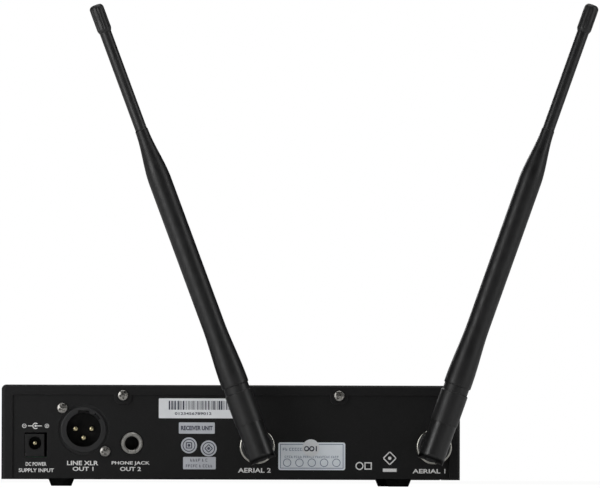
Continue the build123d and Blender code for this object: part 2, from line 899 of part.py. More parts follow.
bore_side = jack_x + line_jack_bore
spring_outline = (
    (bore_side + 0.9, 51.6),
    (bore_side + 0.1, 49.0),
    (bore_side + 0.9, 46.4),
    (bore_side + 4.0, 46.4),
    (bore_side + 4.0, 47.0),
    (bore_side + 1.4, 47.0),
    (bore_side + 0.8, 49.0),
    (bore_side + 1.5, 51.6),
)
with BuildPart() as line_jack_spring:
    with BuildSketch(Plane.XY.offset(jack_z - spring_width / 2)):
        with BuildLine():
            Polyline(*spring_outline, close=True)
        make_face()
    extrude(amount=spring_width)
save(line_jack_spring, "line_jack_spring")

# Coaxial power inlet
dc_face = rear_face + 0.4
dc_pin_tip = dc_face - 1.0
dc_x, dc_z = dc_hole_place
with BuildPart() as power_inlet_body:
    with BuildSketch(upright(dc_face)):
        with Locations((dc_jack_x[0], board_top)):
            Rectangle(
                dc_jack_x[1] - dc_jack_x[0],
                dc_jack_top - board_top,
                align=(Align.MIN, Align.MIN),
            )
    extrude(amount=dc_face - dc_back)
    fillet(power_inlet_body.faces().sort_by(Axis.Y)[-1].edges(), radius=connector_edge)
    with BuildSketch(upright(dc_face)):
        with Locations((dc_x, dc_z)):
            Circle(dc_hole_radius)
    extrude(amount=dc_hole_depth, mode=Mode.SUBTRACT)
    with BuildSketch(upright(dc_face)):
        with Locations((dc_x, dc_z)):
            Circle(dc_pin_radius)
    extrude(amount=dc_face - dc_back, mode=Mode.SUBTRACT)
save(power_inlet_body, "power_inlet_body")

with BuildPart() as power_inlet_pin:
    with BuildSketch(upright(dc_pin_tip)):
        with Locations((dc_x, dc_z)):
            Circle(dc_pin_radius)
    extrude(amount=dc_pin_tip - dc_back)
    fillet(power_inlet_pin.edges().group_by(Axis.Y)[-1], radius=dc_pin_round)
save(power_inlet_pin, "power_inlet_pin")

# Coaxial antenna sockets on the board, with insulators, contacts and panel nuts
socket_places = [(x, antenna_z) for x in antenna_x]
socket_front = rear_inner - socket_fit
socket_mouth = rear_face + barrel_length
lug_y = rear_face + 8.5
bore_floor = rear_face + 2.5
lug_root = barrel_bore + 0.2
insulator_thickness = 1.5
contact_length = 5.5
contact_bore_depth = 4.0
with BuildPart() as antenna_sockets:
    with BuildSketch(upright(socket_front)):
        with Locations(*[(x, board_top) for x in antenna_x]):
            Rectangle(
                socket_body_width,
                2 * (antenna_z - board_top),
                align=(Align.CENTER, Align.MIN),
            )
    extrude(amount=socket_front - socket_back)
    with BuildSketch(upright(socket_mouth)):
        with Locations(*socket_places):
            Circle(barrel_radius)
    extrude(amount=socket_mouth - socket_front)
    with BuildSketch(upright(socket_mouth)):
        with Locations(*socket_places):
            Circle(barrel_bore)
    extrude(amount=socket_mouth - bore_floor, mode=Mode.SUBTRACT)
    # Two bayonet lugs on each barrel, left and right
    for x in antenna_x:
        for lug_start in (x - lug_reach, x + lug_root):
            with BuildSketch(Plane.YZ.offset(lug_start)):
                with Locations((lug_y, antenna_z)):
                    Circle(lug_radius)
            extrude(amount=lug_reach - lug_root)
save(antenna_sockets, "antenna_sockets")

with BuildPart() as socket_insulators:
    with BuildSketch(upright(bore_floor + insulator_thickness)):
        with Locations(*socket_places):
            Circle(barrel_bore)
            Circle(contact_radius, mode=Mode.SUBTRACT)
    extrude(amount=insulator_thickness)
save(socket_insulators, "socket_insulators")

with BuildPart() as socket_contacts:
    with BuildSketch(upright(bore_floor + contact_length)):
        with Locations(*socket_places):
            Circle(contact_radius)
    extrude(amount=contact_length)
    with BuildSketch(upright(bore_floor + contact_length)):
        with Locations(*socket_places):
            Circle(contact_bore)
    extrude(amount=contact_bore_depth, mode=Mode.SUBTRACT)
save(socket_contacts, "socket_contacts")

with BuildPart() as socket_nuts:
    with BuildSketch(upright(rear_face + nut_thickness)):
        with Locations(*socket_places):
            RegularPolygon(radius=nut_radius, side_count=6)
            Circle(barrel_radius, mode=Mode.SUBTRACT)
    extrude(amount=nut_thickness)
save(socket_nuts, "socket_nuts")

# Whip antennas: bayonet sleeve, swivelling elbow and a folding whip
sleeve_mouth = rear_face + sleeve_start
sleeve_end = sleeve_mouth + sleeve_length
collar_start = sleeve_end - sleeve_collar
plug_end = socket_mouth + 0.1
boss_front = rear_face + pivot_out - knuckle_end - 0.3
boss_back = sleeve_end + 0.3
groove_width = 2 * lug_radius + 0.4
groove_radius = lug_reach + sleeve_lug_gap
slot_half = tongue_half + 0.15
slot_reach = tongue_round + 0.3
for antenna_name, x, lean in zip(antenna_names, antenna_x, antenna_lean, strict=True):
    pivot = (x, rear_face + pivot_out, antenna_z)
    up = (sin(radians(lean)), 0, cos(radians(lean)))
    across = (cos(radians(lean)), 0, -sin(radians(lean)))
    whip_base = Plane(origin=pivot, x_dir=across, z_dir=up)
    whip_profile = Plane(origin=pivot, x_dir=across, z_dir=(0, -1, 0))
    whip_side = Plane(origin=pivot, x_dir=(0, 1, 0), z_dir=across)
    whip_axis = Axis(pivot, up)

    # Bayonet sleeve: knurled ring with a lug groove and two entry slots
    with BuildPart() as sleeve:
        with BuildSketch(upright(sleeve_end)):
            with Locations((x, antenna_z)):
                Circle(sleeve_radius)
                with PolarLocations(sleeve_radius + 0.12, knurl_count):
                    Circle(knurl_radius, mode=Mode.SUBTRACT)
        extrude(amount=sleeve_length)
        with BuildSketch(upright(collar_start)):
            with Locations((x, antenna_z)):
                Circle(barrel_radius + sleeve_bore_gap)
        extrude(amount=sleeve_length, mode=Mode.SUBTRACT)
        with BuildSketch(upright(lug_y + groove_width / 2)):
            with Locations((x, antenna_z)):
                Circle(groove_radius)
        extrude(amount=groove_width, mode=Mode.SUBTRACT)
        with BuildSketch(upright(lug_y)):
            with Locations((x, antenna_z)):
                Rectangle(groove_width, 2 * groove_radius)
        extrude(amount=lug_y - sleeve_mouth, mode=Mode.SUBTRACT)
        with BuildSketch(upright(sleeve_end)):
            with Locations((x, antenna_z)):
                Circle(sleeve_collar_bore)
        extrude(amount=sleeve_collar, mode=Mode.SUBTRACT)
    save(sleeve, f"antenna_{antenna_name}_bayonet_sleeve")

    # Elbow: hollow plug, retaining flange, neck, round boss and the hinge tongue
    with BuildPart() as elbow:
        for far_end, radius, run in (
            (plug_end, barrel_bore - socket_fit, elbow_plug_depth),
            (collar_start - 0.1, barrel_radius, elbow_flange),
            (boss_front, elbow_neck_radius, boss_front - collar_start + 0.1),
            (boss_front, elbow_boss_radius, boss_front - boss_back),
        ):
            with BuildSketch(upright(far_end)):
                with Locations((x, antenna_z)):
                    Circle(radius)
            extrude(amount=run)
        fillet(elbow.faces().sort_by(Axis.Y)[-1].edges(), radius=elbow_boss_edge)
        with BuildSketch(upright(plug_end)):
            with Locations((x, antenna_z)):
                Circle(elbow_plug_bore)
        extrude(amount=elbow_plug_depth, mode=Mode.SUBTRACT)
        with BuildSketch(whip_side.offset(-tongue_half)):
            Rectangle(tongue_length, 2 * tongue_round, align=(Align.MAX, Align.CENTER))
            Circle(tongue_round)
            Circle(pivot_pin_radius + pivot_pin_gap, mode=Mode.SUBTRACT)
        extrude(amount=2 * tongue_half)
        with BuildSketch(upright(plug_end)):
            with Locations((x, antenna_z)):
                Circle(elbow_contact_radius)
        extrude(amount=elbow_contact_length)
    save(elbow, f"antenna_{antenna_name}_elbow")

    with BuildPart() as pivot_pin:
        with BuildSketch(whip_side.offset(pin_end_inset - knuckle_radius)):
            Circle(pivot_pin_radius)
        extrude(amount=2 * (knuckle_radius - pin_end_inset))
    save(pivot_pin, f"antenna_{antenna_name}_pivot_pin")

    # Knuckle: slotted housing whose lower end is rounded about the pivot
    with BuildPart() as knuckle:
        with BuildSketch(whip_base.offset(-knuckle_end)):
            Circle(knuckle_radius)
        extrude(amount=knuckle_end + knuckle_top)
        with BuildSketch(whip_side.offset(-knuckle_radius)):
            Rectangle(2 * knuckle_end, knuckle_top, align=(Align.CENTER, Align.MIN))
            Circle(knuckle_end)
        extrude(amount=2 * knuckle_radius, mode=Mode.INTERSECT)
        with BuildSketch(whip_base.offset(knuckle_top)):
            Circle(collar_radius)
        extrude(amount=collar_top - knuckle_top)
        fillet(knuckle.faces().sort_by(whip_axis)[-1].edges(), radius=collar_edge)
        with BuildSketch(whip_base.offset(collar_top)):
            Circle(neck_radius)
        extrude(amount=neck_top - collar_top)
        with BuildSketch(whip_side.offset(-slot_half)) as slot:
            with Locations((slot_reach, slot_reach)):
                Rectangle(3 * knuckle_end, 3 * knuckle_end, align=(Align.MAX, Align.MAX))
            corner = slot.vertices().sort_by(Axis.X).group_by(Axis.Y)[-1].sort_by(Axis.X)[-1]
            fillet(corner, radius=slot_reach)
        extrude(amount=2 * slot_half, mode=Mode.SUBTRACT)
        with BuildSketch(whip_side.offset(-knuckle_radius)):
            Circle(pivot_pin_radius)
        extrude(amount=2 * knuckle_radius, mode=Mode.SUBTRACT)
        with BuildSketch(whip_base.offset(neck_top)):
            Circle(rod_radius)
        extrude(amount=-knuckle_hole_depth, mode=Mode.SUBTRACT)
    save(knuckle, f"antenna_{antenna_name}_knuckle")

    # Rubber boot: thick at the knuckle, long straight body, smooth taper to the whip
    with BuildPart() as boot:
        with BuildSketch(whip_profile):
            with BuildLine():
                Line((rod_radius, neck_top), (boot_base_radius - boot_edge, neck_top))
                Line((boot_base_radius - boot_edge, neck_top), (boot_base_radius, neck_top + boot_edge))
                Line((boot_base_radius, neck_top + boot_edge), (boot_base_radius, boot_collar_top))
                Spline(
                    (boot_base_radius, boot_collar_top),
                    (boot_radius, boot_body_height),
                    tangents=((0, 1), (0, 1)),
                )
                Line((boot_radius, boot_body_height), (boot_radius, taper_start))
                Spline(
                    (boot_radius, taper_start),
                    (rod_radius + boot_lip, taper_end),
                    tangents=((0, 1), (0, 1)),
                )
                Line((rod_radius + boot_lip, taper_end), (rod_radius, taper_end + boot_lip_height))
                Line((rod_radius, taper_end + boot_lip_height), (rod_radius, neck_top))
            make_face()
        revolve(axis=whip_axis)
    save(boot, f"antenna_{antenna_name}_boot")

    with BuildPart() as rod:
        with BuildSketch(whip_base.offset(neck_top - knuckle_hole_depth)):
            Circle(rod_radius)
        extrude(amount=cap_start - neck_top + knuckle_hole_depth)
    save(rod, f"antenna_{antenna_name}_rod")

    # Fluted end cap over the tip
    with BuildPart() as cap:
        with BuildSketch(whip_base.offset(cap_start)):
            Circle(rod_radius + shaft_gap)
        with BuildSketch(whip_base.offset(cap_start + cap_skirt)):
            Circle(cap_radius)
        loft()
        with BuildSketch(whip_base.offset(cap_start + cap_skirt)):
            Circle(cap_radius)
            with PolarLocations(cap_radius + 0.1, flute_count):
                Circle(flute_radius, mode=Mode.SUBTRACT)
        extrude(amount=tip_height - cap_start - cap_skirt - cap_crown)
        with BuildSketch(whip_base.offset(tip_height - cap_crown)):
            Circle(cap_radius - 0.1)
        extrude(amount=cap_crown)
        fillet(cap.faces().sort_by(whip_axis)[-1].edges(), radius=cap_round)
    save(cap, f"antenna_{antenna_name}_cap")

# Adhesive labels on the rear panel: (name, outlines as centre, size and corner radius)
label_thickness = 0.15
label_sets = {
    "serial_label": (((13.4, 32.4), (40.0, 9.2), 0.4),),
    "inspection_label": (((-37.4, 10.4), (31.0, 12.8), 1.0),),
    "small_labels": (
        ((15.8, 23.3), (16.6, 5.2), 0.4),
        ((14.55, 7.1), (15.1, 5.7), 0.4),
        ((19.4, 15.3), (7.4, 7.4), 3.69),
        ((10.3, 13.9), (7.4, 7.4), 3.69),
    ),
}
for label_name, outlines in label_sets.items():
    with BuildPart() as label:
        for centre, size, corner_radius in outlines:
            with BuildSketch(upright(rear_face + label_thickness)):
                with Locations(centre):
                    RectangleRounded(*size, corner_radius)
            extrude(amount=label_thickness)
    save(label, label_name)
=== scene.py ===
import json
import math
import random

import bmesh
import bpy
from mathutils import Matrix, Vector


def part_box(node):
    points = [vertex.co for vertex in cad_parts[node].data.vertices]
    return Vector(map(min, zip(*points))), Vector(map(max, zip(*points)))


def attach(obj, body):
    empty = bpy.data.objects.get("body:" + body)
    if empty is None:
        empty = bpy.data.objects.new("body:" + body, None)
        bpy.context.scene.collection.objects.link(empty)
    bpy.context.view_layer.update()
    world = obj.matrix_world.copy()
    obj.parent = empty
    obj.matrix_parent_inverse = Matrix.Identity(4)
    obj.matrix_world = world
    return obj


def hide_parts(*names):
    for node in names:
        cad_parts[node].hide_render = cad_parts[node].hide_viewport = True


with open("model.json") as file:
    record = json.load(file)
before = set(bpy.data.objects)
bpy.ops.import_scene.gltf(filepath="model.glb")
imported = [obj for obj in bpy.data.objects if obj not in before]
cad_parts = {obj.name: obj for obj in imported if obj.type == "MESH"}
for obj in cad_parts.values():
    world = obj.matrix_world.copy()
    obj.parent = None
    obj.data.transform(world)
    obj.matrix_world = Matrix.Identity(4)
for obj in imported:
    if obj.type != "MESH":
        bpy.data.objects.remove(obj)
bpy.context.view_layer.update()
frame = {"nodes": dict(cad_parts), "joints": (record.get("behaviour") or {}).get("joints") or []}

MM = 0.001
scene = bpy.context.scene


# ---------------------------------------------------------------- places taken from the frame

REAR_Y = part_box("chassis_tray")[1].y
FRONT_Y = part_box("front_panel")[0].y
FLOOR_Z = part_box("rubber_feet")[0].z
CONTROL_Z = sum(corner.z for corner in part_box("volume_knob")) / 2


def middle(node):
    """Centre of a CAD node's box."""
    low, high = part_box(node)
    return (low + high) / 2


# ---------------------------------------------------------------- materials


class Shader:
    """One material's node tree, with a Principled BSDF and short ways to add nodes."""

    def __init__(self, name, roughness=0.5, metallic=0.0, **sockets):
        self.material = bpy.data.materials.new(name)
        self.material.use_nodes = True
        self.tree = self.material.node_tree
        self.surface = self.tree.nodes["Principled BSDF"]
        self.surface.inputs["Roughness"].default_value = roughness
        self.surface.inputs["Metallic"].default_value = metallic
        for socket, value in sockets.items():
            self.surface.inputs[socket.replace("_", " ")].default_value = value
        self.place = self.node("ShaderNodeTexCoord").outputs["Object"]

    def node(self, kind, **inputs):
        """A new node; a socket given as an input is linked and a number is set."""
        made = self.tree.nodes.new(kind)
        for key, value in inputs.items():
            socket = made.inputs[key.replace("_", " ")]
            if isinstance(value, bpy.types.NodeSocket):
                self.tree.links.new(value, socket)
            else:
                socket.default_value = value
        return made

    def noise(self, per_metre, detail=3.0, stretch=None, distortion=0.0):
        """Noise from 0 to 1 with this many features in a metre."""
        place = self.place
        if stretch is not None:
            place = self.node("ShaderNodeMapping", Vector=place, Scale=stretch).outputs[0]
        return self.node(
            "ShaderNodeTexNoise", Vector=place, Scale=per_metre, Detail=detail, Distortion=distortion
        ).outputs["Fac"]

    def ranged(self, value, low, high, to_low, to_high):
        """value mapped from low..high to to_low..to_high, and clamped."""
        made = self.node("ShaderNodeMapRange", Value=value)
        numbers = (low, high, to_low, to_high)
        for key, number in zip(("From Min", "From Max", "To Min", "To Max"), numbers, strict=True):
            made.inputs[key].default_value = number
        return made.outputs[0]

    def mixed(self, share, first, second):
        """Colour between first and second by share."""
        made = self.tree.nodes.new("ShaderNodeMix")
        made.data_type = "RGBA"
        self.feed(share, made.inputs[0])
        self.feed(first, made.inputs[6])
        self.feed(second, made.inputs[7])
        return made.outputs[2]

    def feed(self, value, socket):
        """Links a socket, or sets a colour or a number."""
        if isinstance(value, bpy.types.NodeSocket):
            self.tree.links.new(value, socket)
        elif isinstance(value, (tuple, list)) and len(value) == 3:
            socket.default_value = (*value, 1.0)
        else:
            socket.default_value = value

    def math(self, operation, first, second=0.5):
        """The result of a two-input math node."""
        made = self.tree.nodes.new("ShaderNodeMath")
        made.operation = operation
        self.feed(first, made.inputs[0])
        self.feed(second, made.inputs[1])
        return made.outputs[0]

    def edges(self, radius, wear=1.0):
        """1 where a convex edge is within the radius, 0 on flats, broken up by noise."""
        bevel = self.node("ShaderNodeBevel", Radius=radius)
        bevel.samples = 4
        true_normal = self.node("ShaderNodeNewGeometry").outputs["Normal"]
        made = self.tree.nodes.new("ShaderNodeVectorMath")
        made.operation = "DOT_PRODUCT"
        self.feed(bevel.outputs[0], made.inputs[0])
        self.feed(true_normal, made.inputs[1])
        edge = self.ranged(made.outputs["Value"], 0.995, 0.88, 0.0, wear)
        return self.math("MULTIPLY", edge, self.ranged(self.noise(900), 0.35, 0.65, 0.2, 1.0))

    def bump(self, height, distance, strength=1.0, round_edges=0.0):
        """Joins a height to the surface's normal, over softly rounded edges."""
        made = self.node("ShaderNodeBump", Height=height, Distance=distance, Strength=strength)
        if round_edges:
            bevel = self.node("ShaderNodeBevel", Radius=round_edges)
            bevel.samples = 4
            self.tree.links.new(bevel.outputs[0], made.inputs["Normal"])
        self.tree.links.new(made.outputs[0], self.surface.inputs["Normal"])

    def colour(self, value):
        self.feed(value, self.surface.inputs["Base Color"])

    def rough(self, value):
        self.feed(value, self.surface.inputs["Roughness"])


def joint_axis(name):
    """Unit axis and position of a joint of the frame."""
    joint = next(j for j in frame["joints"] if j["name"] == name)
    return Vector(joint["axis"]).normalized(), Vector(joint["pos_m"])


def knuckle_plastic(letter):
    """Moulded hinge housing: satin round the pivot and duller on the collar; the toe is painted near black
    with little specular, as painted shade.
    """
    s = Shader(f"knuckle_plastic_{letter}")
    axis, pivot = joint_axis(f"antenna_fold_{letter}")
    up = Vector((0, 1, 0)).cross(axis).normalized()
    height = s.tree.nodes.new("ShaderNodeVectorMath")
    height.operation = "DOT_PRODUCT"
    s.tree.links.new(s.place, height.inputs[0])
    height.inputs[1].default_value = up
    above = s.math("SUBTRACT", height.outputs["Value"], pivot.dot(up))
    collar = s.ranged(above, 0.0111, 0.0113, 0.0, 1.0)
    base = s.mixed(collar, (0.0062, 0.0062, 0.0065), (0.0050, 0.0050, 0.0053))
    base = s.mixed(s.ranged(s.noise(120, detail=4), 0.3, 0.7, 0.0, 0.6), base, (0.008, 0.008, 0.0083))
    # Painted shade: below the pivot the toe is darkened to near black and its specular is cut.
    shaded_toe = s.ranged(above, -0.0044, -0.0054, 0.0, 1.0)
    worn = s.mixed(s.edges(0.0004, 0.25), base, (0.018, 0.018, 0.019))
    s.colour(s.mixed(shaded_toe, worn, (0.0015, 0.0015, 0.0016)))
    s.feed(s.ranged(shaded_toe, 0.0, 1.0, 0.5, 0.06), s.surface.inputs["Specular IOR Level"])
    s.rough(s.math("ADD", s.ranged(s.noise(250), 0.3, 0.7, 0.30, 0.40), s.math("MULTIPLY", collar, 0.12)))
    s.bump(s.noise(2200, detail=2), 0.000004, 0.6, round_edges=0.0003)
    return s.material


def powder_coat(name, bend):
    """Black powder-coated steel: fine orange peel, faint cloudiness and slightly bare, rounded edges."""
    s = Shader(name, Specular_IOR_Level=0.27)
    clouds = s.noise(14, detail=5)
    black = s.mixed(clouds, (0.0045, 0.0045, 0.0047), (0.0064, 0.0064, 0.0066))
    speckle = s.ranged(s.noise(2600, detail=1), 0.62, 0.74, 0.0, 0.35)
    black = s.mixed(speckle, black, (0.022, 0.022, 0.023))
    s.colour(s.mixed(s.edges(0.0005, 0.5), black, (0.06, 0.06, 0.061)))
    s.rough(s.ranged(s.noise(60, detail=6), 0.3, 0.7, 0.47, 0.58))
    peel = s.math("ADD", s.noise(1500, detail=2), s.math("MULTIPLY", s.noise(420, detail=2), 0.8))
    s.bump(peel, 0.00006, 0.55, round_edges=bend)
    return s.material


def moulded(name, colour, roughness=0.42, grain=1800, depth=0.00002, specular=0.5, edge=0.0003):
    """Moulded plastic or rubber with a fine grain and paler worn edges."""
    s = Shader(name, Specular_IOR_Level=specular)
    pale = tuple(min(1.0, c * 1.45 + 0.004) for c in colour)
    worn = tuple(min(1.0, c * 2.2 + 0.015) for c in colour)
    base = s.mixed(s.ranged(s.noise(120, detail=4), 0.3, 0.7, 0.0, 0.6), colour, pale)
    s.colour(s.mixed(s.edges(edge * 1.5, 0.5), base, worn))
    spread = 0.07
    s.rough(s.ranged(s.noise(250, detail=4), 0.3, 0.7, roughness - spread, roughness + spread))
    s.bump(s.noise(grain, detail=2), depth, 0.6, round_edges=edge)
    return s.material


def plated(name, colour, roughness=0.22, stretch=None):
    """Plated or bare metal with fine scratches and small stains."""
    s = Shader(name, metallic=1.0)
    dull = tuple(c * 0.72 for c in colour)
    s.colour(s.mixed(s.ranged(s.noise(500, detail=5), 0.45, 0.75, 0.0, 0.7), colour, dull))
    scratches = s.noise(900, detail=6, stretch=stretch or (1.0, 6.0, 1.0))
    s.rough(s.ranged(scratches, 0.3, 0.7, roughness - 0.06, roughness + 0.1))
    s.bump(scratches, 0.000008, 0.4, round_edges=0.00015)
    return s.material


def circuit_board():
    """Green solder mask over copper tracks, with pale pads."""
    s = Shader("circuit_board", roughness=0.35, Coat_Weight=0.4, Coat_Roughness=0.2)
    place = s.node("ShaderNodeMapping", Vector=s.place, Scale=(1.0, 1.0, 0.0)).outputs[0]
    cells = s.node("ShaderNodeTexVoronoi", Vector=place, Scale=170)
    cells.distance = "CHEBYCHEV"
    tracks = s.ranged(cells.outputs["Distance"], 0.32, 0.36, 0.0, 1.0)
    board = s.mixed(tracks, (0.010, 0.085, 0.035), (0.018, 0.150, 0.062))
    pads = s.ranged(cells.outputs["Distance"], 0.07, 0.05, 0.0, 1.0)
    s.colour(s.mixed(pads, board, (0.55, 0.52, 0.42)))
    s.rough(s.ranged(s.noise(300), 0.3, 0.7, 0.28, 0.45))
    s.bump(tracks, 0.00003, 0.5)
    return s.material


def label_film(name, colour):
    """Printed label film with slight mottling and paper grain."""
    s = Shader(name, roughness=0.38, Specular_IOR_Level=0.4)
    tint = s.ranged(s.noise(110, detail=4), 0.3, 0.7, 0.0, 1.0)
    s.colour(s.mixed(tint, colour, tuple(c * 0.9 for c in colour)))
    s.rough(s.ranged(s.noise(600), 0.3, 0.7, 0.32, 0.46))
    s.bump(s.noise(1500, detail=3), 0.00001, 0.4)
    return s.material


def ink(name, colour, roughness=0.5):
    """Screen-printed ink with small density changes."""
    s = Shader(name, roughness=roughness, Specular_IOR_Level=0.35)
    thin = tuple(c * 0.82 + 0.01 for c in colour)
    s.colour(s.mixed(s.ranged(s.noise(1500, detail=4), 0.35, 0.65, 0.0, 1.0), colour, thin))
    s.rough(s.ranged(s.noise(900), 0.3, 0.7, roughness - 0.06, roughness + 0.06))
    s.bump(s.noise(4000, detail=2), 0.000004, 0.3)
    return s.material


def smoked_pane():
    """Smoked acrylic display window with a light coat of fingerprints."""
    s = Shader("smoked_pane", roughness=0.06, Transmission_Weight=0.85, IOR=1.49)
    s.colour(s.mixed(s.noise(40), (0.10, 0.11, 0.12), (0.14, 0.15, 0.16)))
    s.rough(s.ranged(s.noise(70, detail=6, distortion=1.5), 0.45, 0.75, 0.03, 0.12))
    s.bump(s.noise(300), 0.000002, 0.2, round_edges=0.0003)
    return s.material


def display_glass():
    """Unlit segment display: grey-green glass with a faint grid of cells."""
    s = Shader("display_glass", roughness=0.2, Specular_IOR_Level=0.6)
    place = s.node("ShaderNodeMapping", Vector=s.place, Scale=(1.0, 0.0, 1.0)).outputs[0]
    cells = s.node("ShaderNodeTexVoronoi", Vector=place, Scale=420, Randomness=0.0)
    cells.distance = "CHEBYCHEV"
    grid = s.ranged(cells.outputs["Distance"], 0.40, 0.46, 0.0, 1.0)
    s.colour(s.mixed(grid, (0.10, 0.135, 0.105), (0.065, 0.09, 0.07)))
    s.rough(s.ranged(s.noise(200), 0.3, 0.7, 0.15, 0.28))
    s.bump(grid, 0.00001, 0.3)
    return s.material


def ribbon_plastic():
    """Grey flat cable: parallel cores along its length and a red marked edge."""
    s = Shader("ribbon_plastic", roughness=0.45)
    core_pitch = 1.27 * MM
    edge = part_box("ribbon_cable")[0].x
    across = s.node("ShaderNodeSeparateXYZ", Vector=s.place).outputs["X"]
    wave = s.math("SINE", s.math("MULTIPLY", across, 2 * math.pi / core_pitch))
    marked = s.ranged(across, edge + 0.0011, edge + 0.0013, 1.0, 0.0)
    grey = s.mixed(s.ranged(wave, -1, 1, 0.0, 1.0), (0.30, 0.30, 0.31), (0.44, 0.44, 0.45))
    s.colour(s.mixed(marked, grey, (0.45, 0.03, 0.02)))
    s.rough(s.ranged(s.noise(300), 0.3, 0.7, 0.4, 0.52))
    s.bump(wave, 0.0001, 0.8)
    return s.material


def can_sleeve():
    """Printed shrink sleeve of an electrolytic capacitor with a bare top."""
    s = Shader("can_sleeve", roughness=0.35)
    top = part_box("electrolytic_capacitors")[1].z
    height = s.node("ShaderNodeSeparateXYZ", Vector=s.place).outputs["Z"]
    bare = s.ranged(height, top - 0.0006, top - 0.0003, 0.0, 1.0)
    sleeve = s.mixed(s.noise(200), (0.010, 0.014, 0.045), (0.020, 0.026, 0.075))
    s.colour(s.mixed(bare, sleeve, (0.60, 0.60, 0.60)))
    s.feed(bare, s.surface.inputs["Metallic"])
    s.rough(s.ranged(s.noise(500), 0.3, 0.7, 0.28, 0.42))
    s.bump(s.noise(900), 0.00001, 0.4)
    return s.material


POWDER, COVER = powder_coat("powder_coat", 0.0004), powder_coat("cover_coat", 0.0006)
FRONT = moulded("front_moulding", (0.013, 0.013, 0.0135), 0.5, grain=2200)
KEYS = moulded("key_moulding", (0.034, 0.034, 0.036), 0.45, grain=2400)
FOOT = moulded("foot_rubber", (0.012, 0.012, 0.012), 0.72, grain=1400, depth=0.00004, specular=0.3)
BOOT = moulded("boot_rubber", (0.0052, 0.0052, 0.0055), 0.43, grain=2600, depth=0.000008, specular=0.46)
WHIP = moulded("whip_plastic", (0.0075, 0.0075, 0.0078), 0.42, grain=2600, depth=0.000006)
KNUCKLE_A, KNUCKLE_B = knuckle_plastic("a"), knuckle_plastic("b")
ELBOW = moulded("elbow_plastic", (0.0060, 0.0060, 0.0063), 0.5, grain=2200, depth=0.000004)
CONNECTOR = moulded("connector_plastic", (0.0085, 0.0085, 0.009), 0.42, grain=2000)
INLET = moulded("inlet_plastic", (0.0035, 0.0035, 0.0037), 0.5, grain=2000, specular=0.35)
INSULATOR = moulded("insulator_resin", (0.62, 0.61, 0.57), 0.4, grain=2000)
RESIN = moulded("chip_resin", (0.018, 0.018, 0.018), 0.6, grain=5000)
NICKEL = plated("nickel_plate", (0.50, 0.48, 0.44), 0.26)
FERRULE = plated("ferrule_nickel", (0.52, 0.51, 0.48), 0.3, stretch=(1.0, 1.0, 1.0))
SLEEVE = plated("sleeve_nickel", (0.46, 0.45, 0.41), 0.16)
SCREW = plated("screw_plate", (0.36, 0.35, 0.33), 0.24)
BRASS = plated("contact_plate", (0.68, 0.61, 0.38), 0.24)
TIN = plated("tinned_sheet", (0.58, 0.58, 0.57), 0.36, stretch=(1.0, 1.0, 1.0))
SINK = plated("extruded_aluminium", (0.56, 0.57, 0.58), 0.38, stretch=(8.0, 8.0, 0.5))
BOARD = circuit_board()
WHITE_FILM = label_film("white_label_film", (0.88, 0.90, 0.92))
BLUE_FILM = label_film("blue_label_film", (0.90, 0.95, 1.0))
GREY_FILM = label_film("grey_label_film", (0.56, 0.58, 0.62))
WHITE_INK = ink("white_ink", (0.88, 0.88, 0.87))
DARK_INK = ink("dark_ink", (0.035, 0.04, 0.07))
GREY_INK = ink("grey_ink", (0.20, 0.25, 0.36))
PANE = smoked_pane()
DISPLAY = display_glass()
RIBBON = ribbon_plastic()
CAN = can_sleeve()

NODE_MATERIALS = {
    POWDER: ("chassis_tray",),
    COVER: ("top_cover",),
    FRONT: ("front_panel",),
    KEYS: ("power_button", "set_button", "up_button", "down_button", "volume_knob"),
    FOOT: ("rubber_feet",),
    BOOT: ("antenna_a_boot", "antenna_b_boot"),
    WHIP: ("antenna_a_rod", "antenna_b_rod", "antenna_a_cap", "antenna_b_cap"),
    KNUCKLE_A: ("antenna_a_knuckle",),
    KNUCKLE_B: ("antenna_b_knuckle",),
    ELBOW: ("antenna_a_elbow", "antenna_b_elbow"),
    CONNECTOR: (
        "xlr_shell",
        "line_jack_body",
        "volume_potentiometer",
        "key_switches",
        "ribbon_sockets",
    ),
    INLET: ("power_inlet_body", "xlr_insert"),
    INSULATOR: ("socket_insulators",),
    RESIN: ("board_chips", "voltage_regulator"),
    NICKEL: (
        "cover_rear_screws",
        "cover_side_screws",
        "foot_screws",
        "front_panel_screws",
        "front_board_screws",
        "board_screws",
        "xlr_screws",
        "board_standoffs",
        "antenna_sockets",
        "socket_nuts",
        "antenna_a_pivot_pin",
        "antenna_b_pivot_pin",
        "volume_shaft",
    ),
    FERRULE: ("line_jack_ferrule",),
    SLEEVE: ("antenna_a_bayonet_sleeve", "antenna_b_bayonet_sleeve"),
    BRASS: ("xlr_pins", "line_jack_spring", "power_inlet_pin", "socket_contacts"),
    TIN: ("tuner_cans",),
    SINK: ("heat_sink",),
    BOARD: ("main_board", "front_board"),
    WHITE_FILM: ("serial_label",),
    BLUE_FILM: ("inspection_label",),
    GREY_FILM: ("small_labels",),
    PANE: ("display_window",),
    DISPLAY: ("display_module",),
    RIBBON: ("ribbon_cable",),
    CAN: ("electrolytic_capacitors",),
}
for node_material, node_names in NODE_MATERIALS.items():
    for node_name in node_names:
        node_mesh = frame["nodes"][node_name].data
        node_mesh.materials.clear()
        node_mesh.materials.append(node_material)


# ---------------------------------------------------------------- mesh helpers


def finished(name, bm, material, body, smooth=None):
    """Turns a bmesh into a piece that rides on a body; smooth is the sharp-edge angle in degrees."""
    bmesh.ops.recalc_face_normals(bm, faces=bm.faces[:])
    mesh = bpy.data.meshes.new(name)
    bm.to_mesh(mesh)
    bm.free()
    mesh.materials.append(material)
    piece = bpy.data.objects.new(name, mesh)
    scene.collection.objects.link(piece)
    if smooth is not None:
        mesh.polygons.foreach_set("use_smooth", [True] * len(mesh.polygons))
        mesh.set_sharp_from_angle(angle=math.radians(smooth))
    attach(piece, body)
    return piece


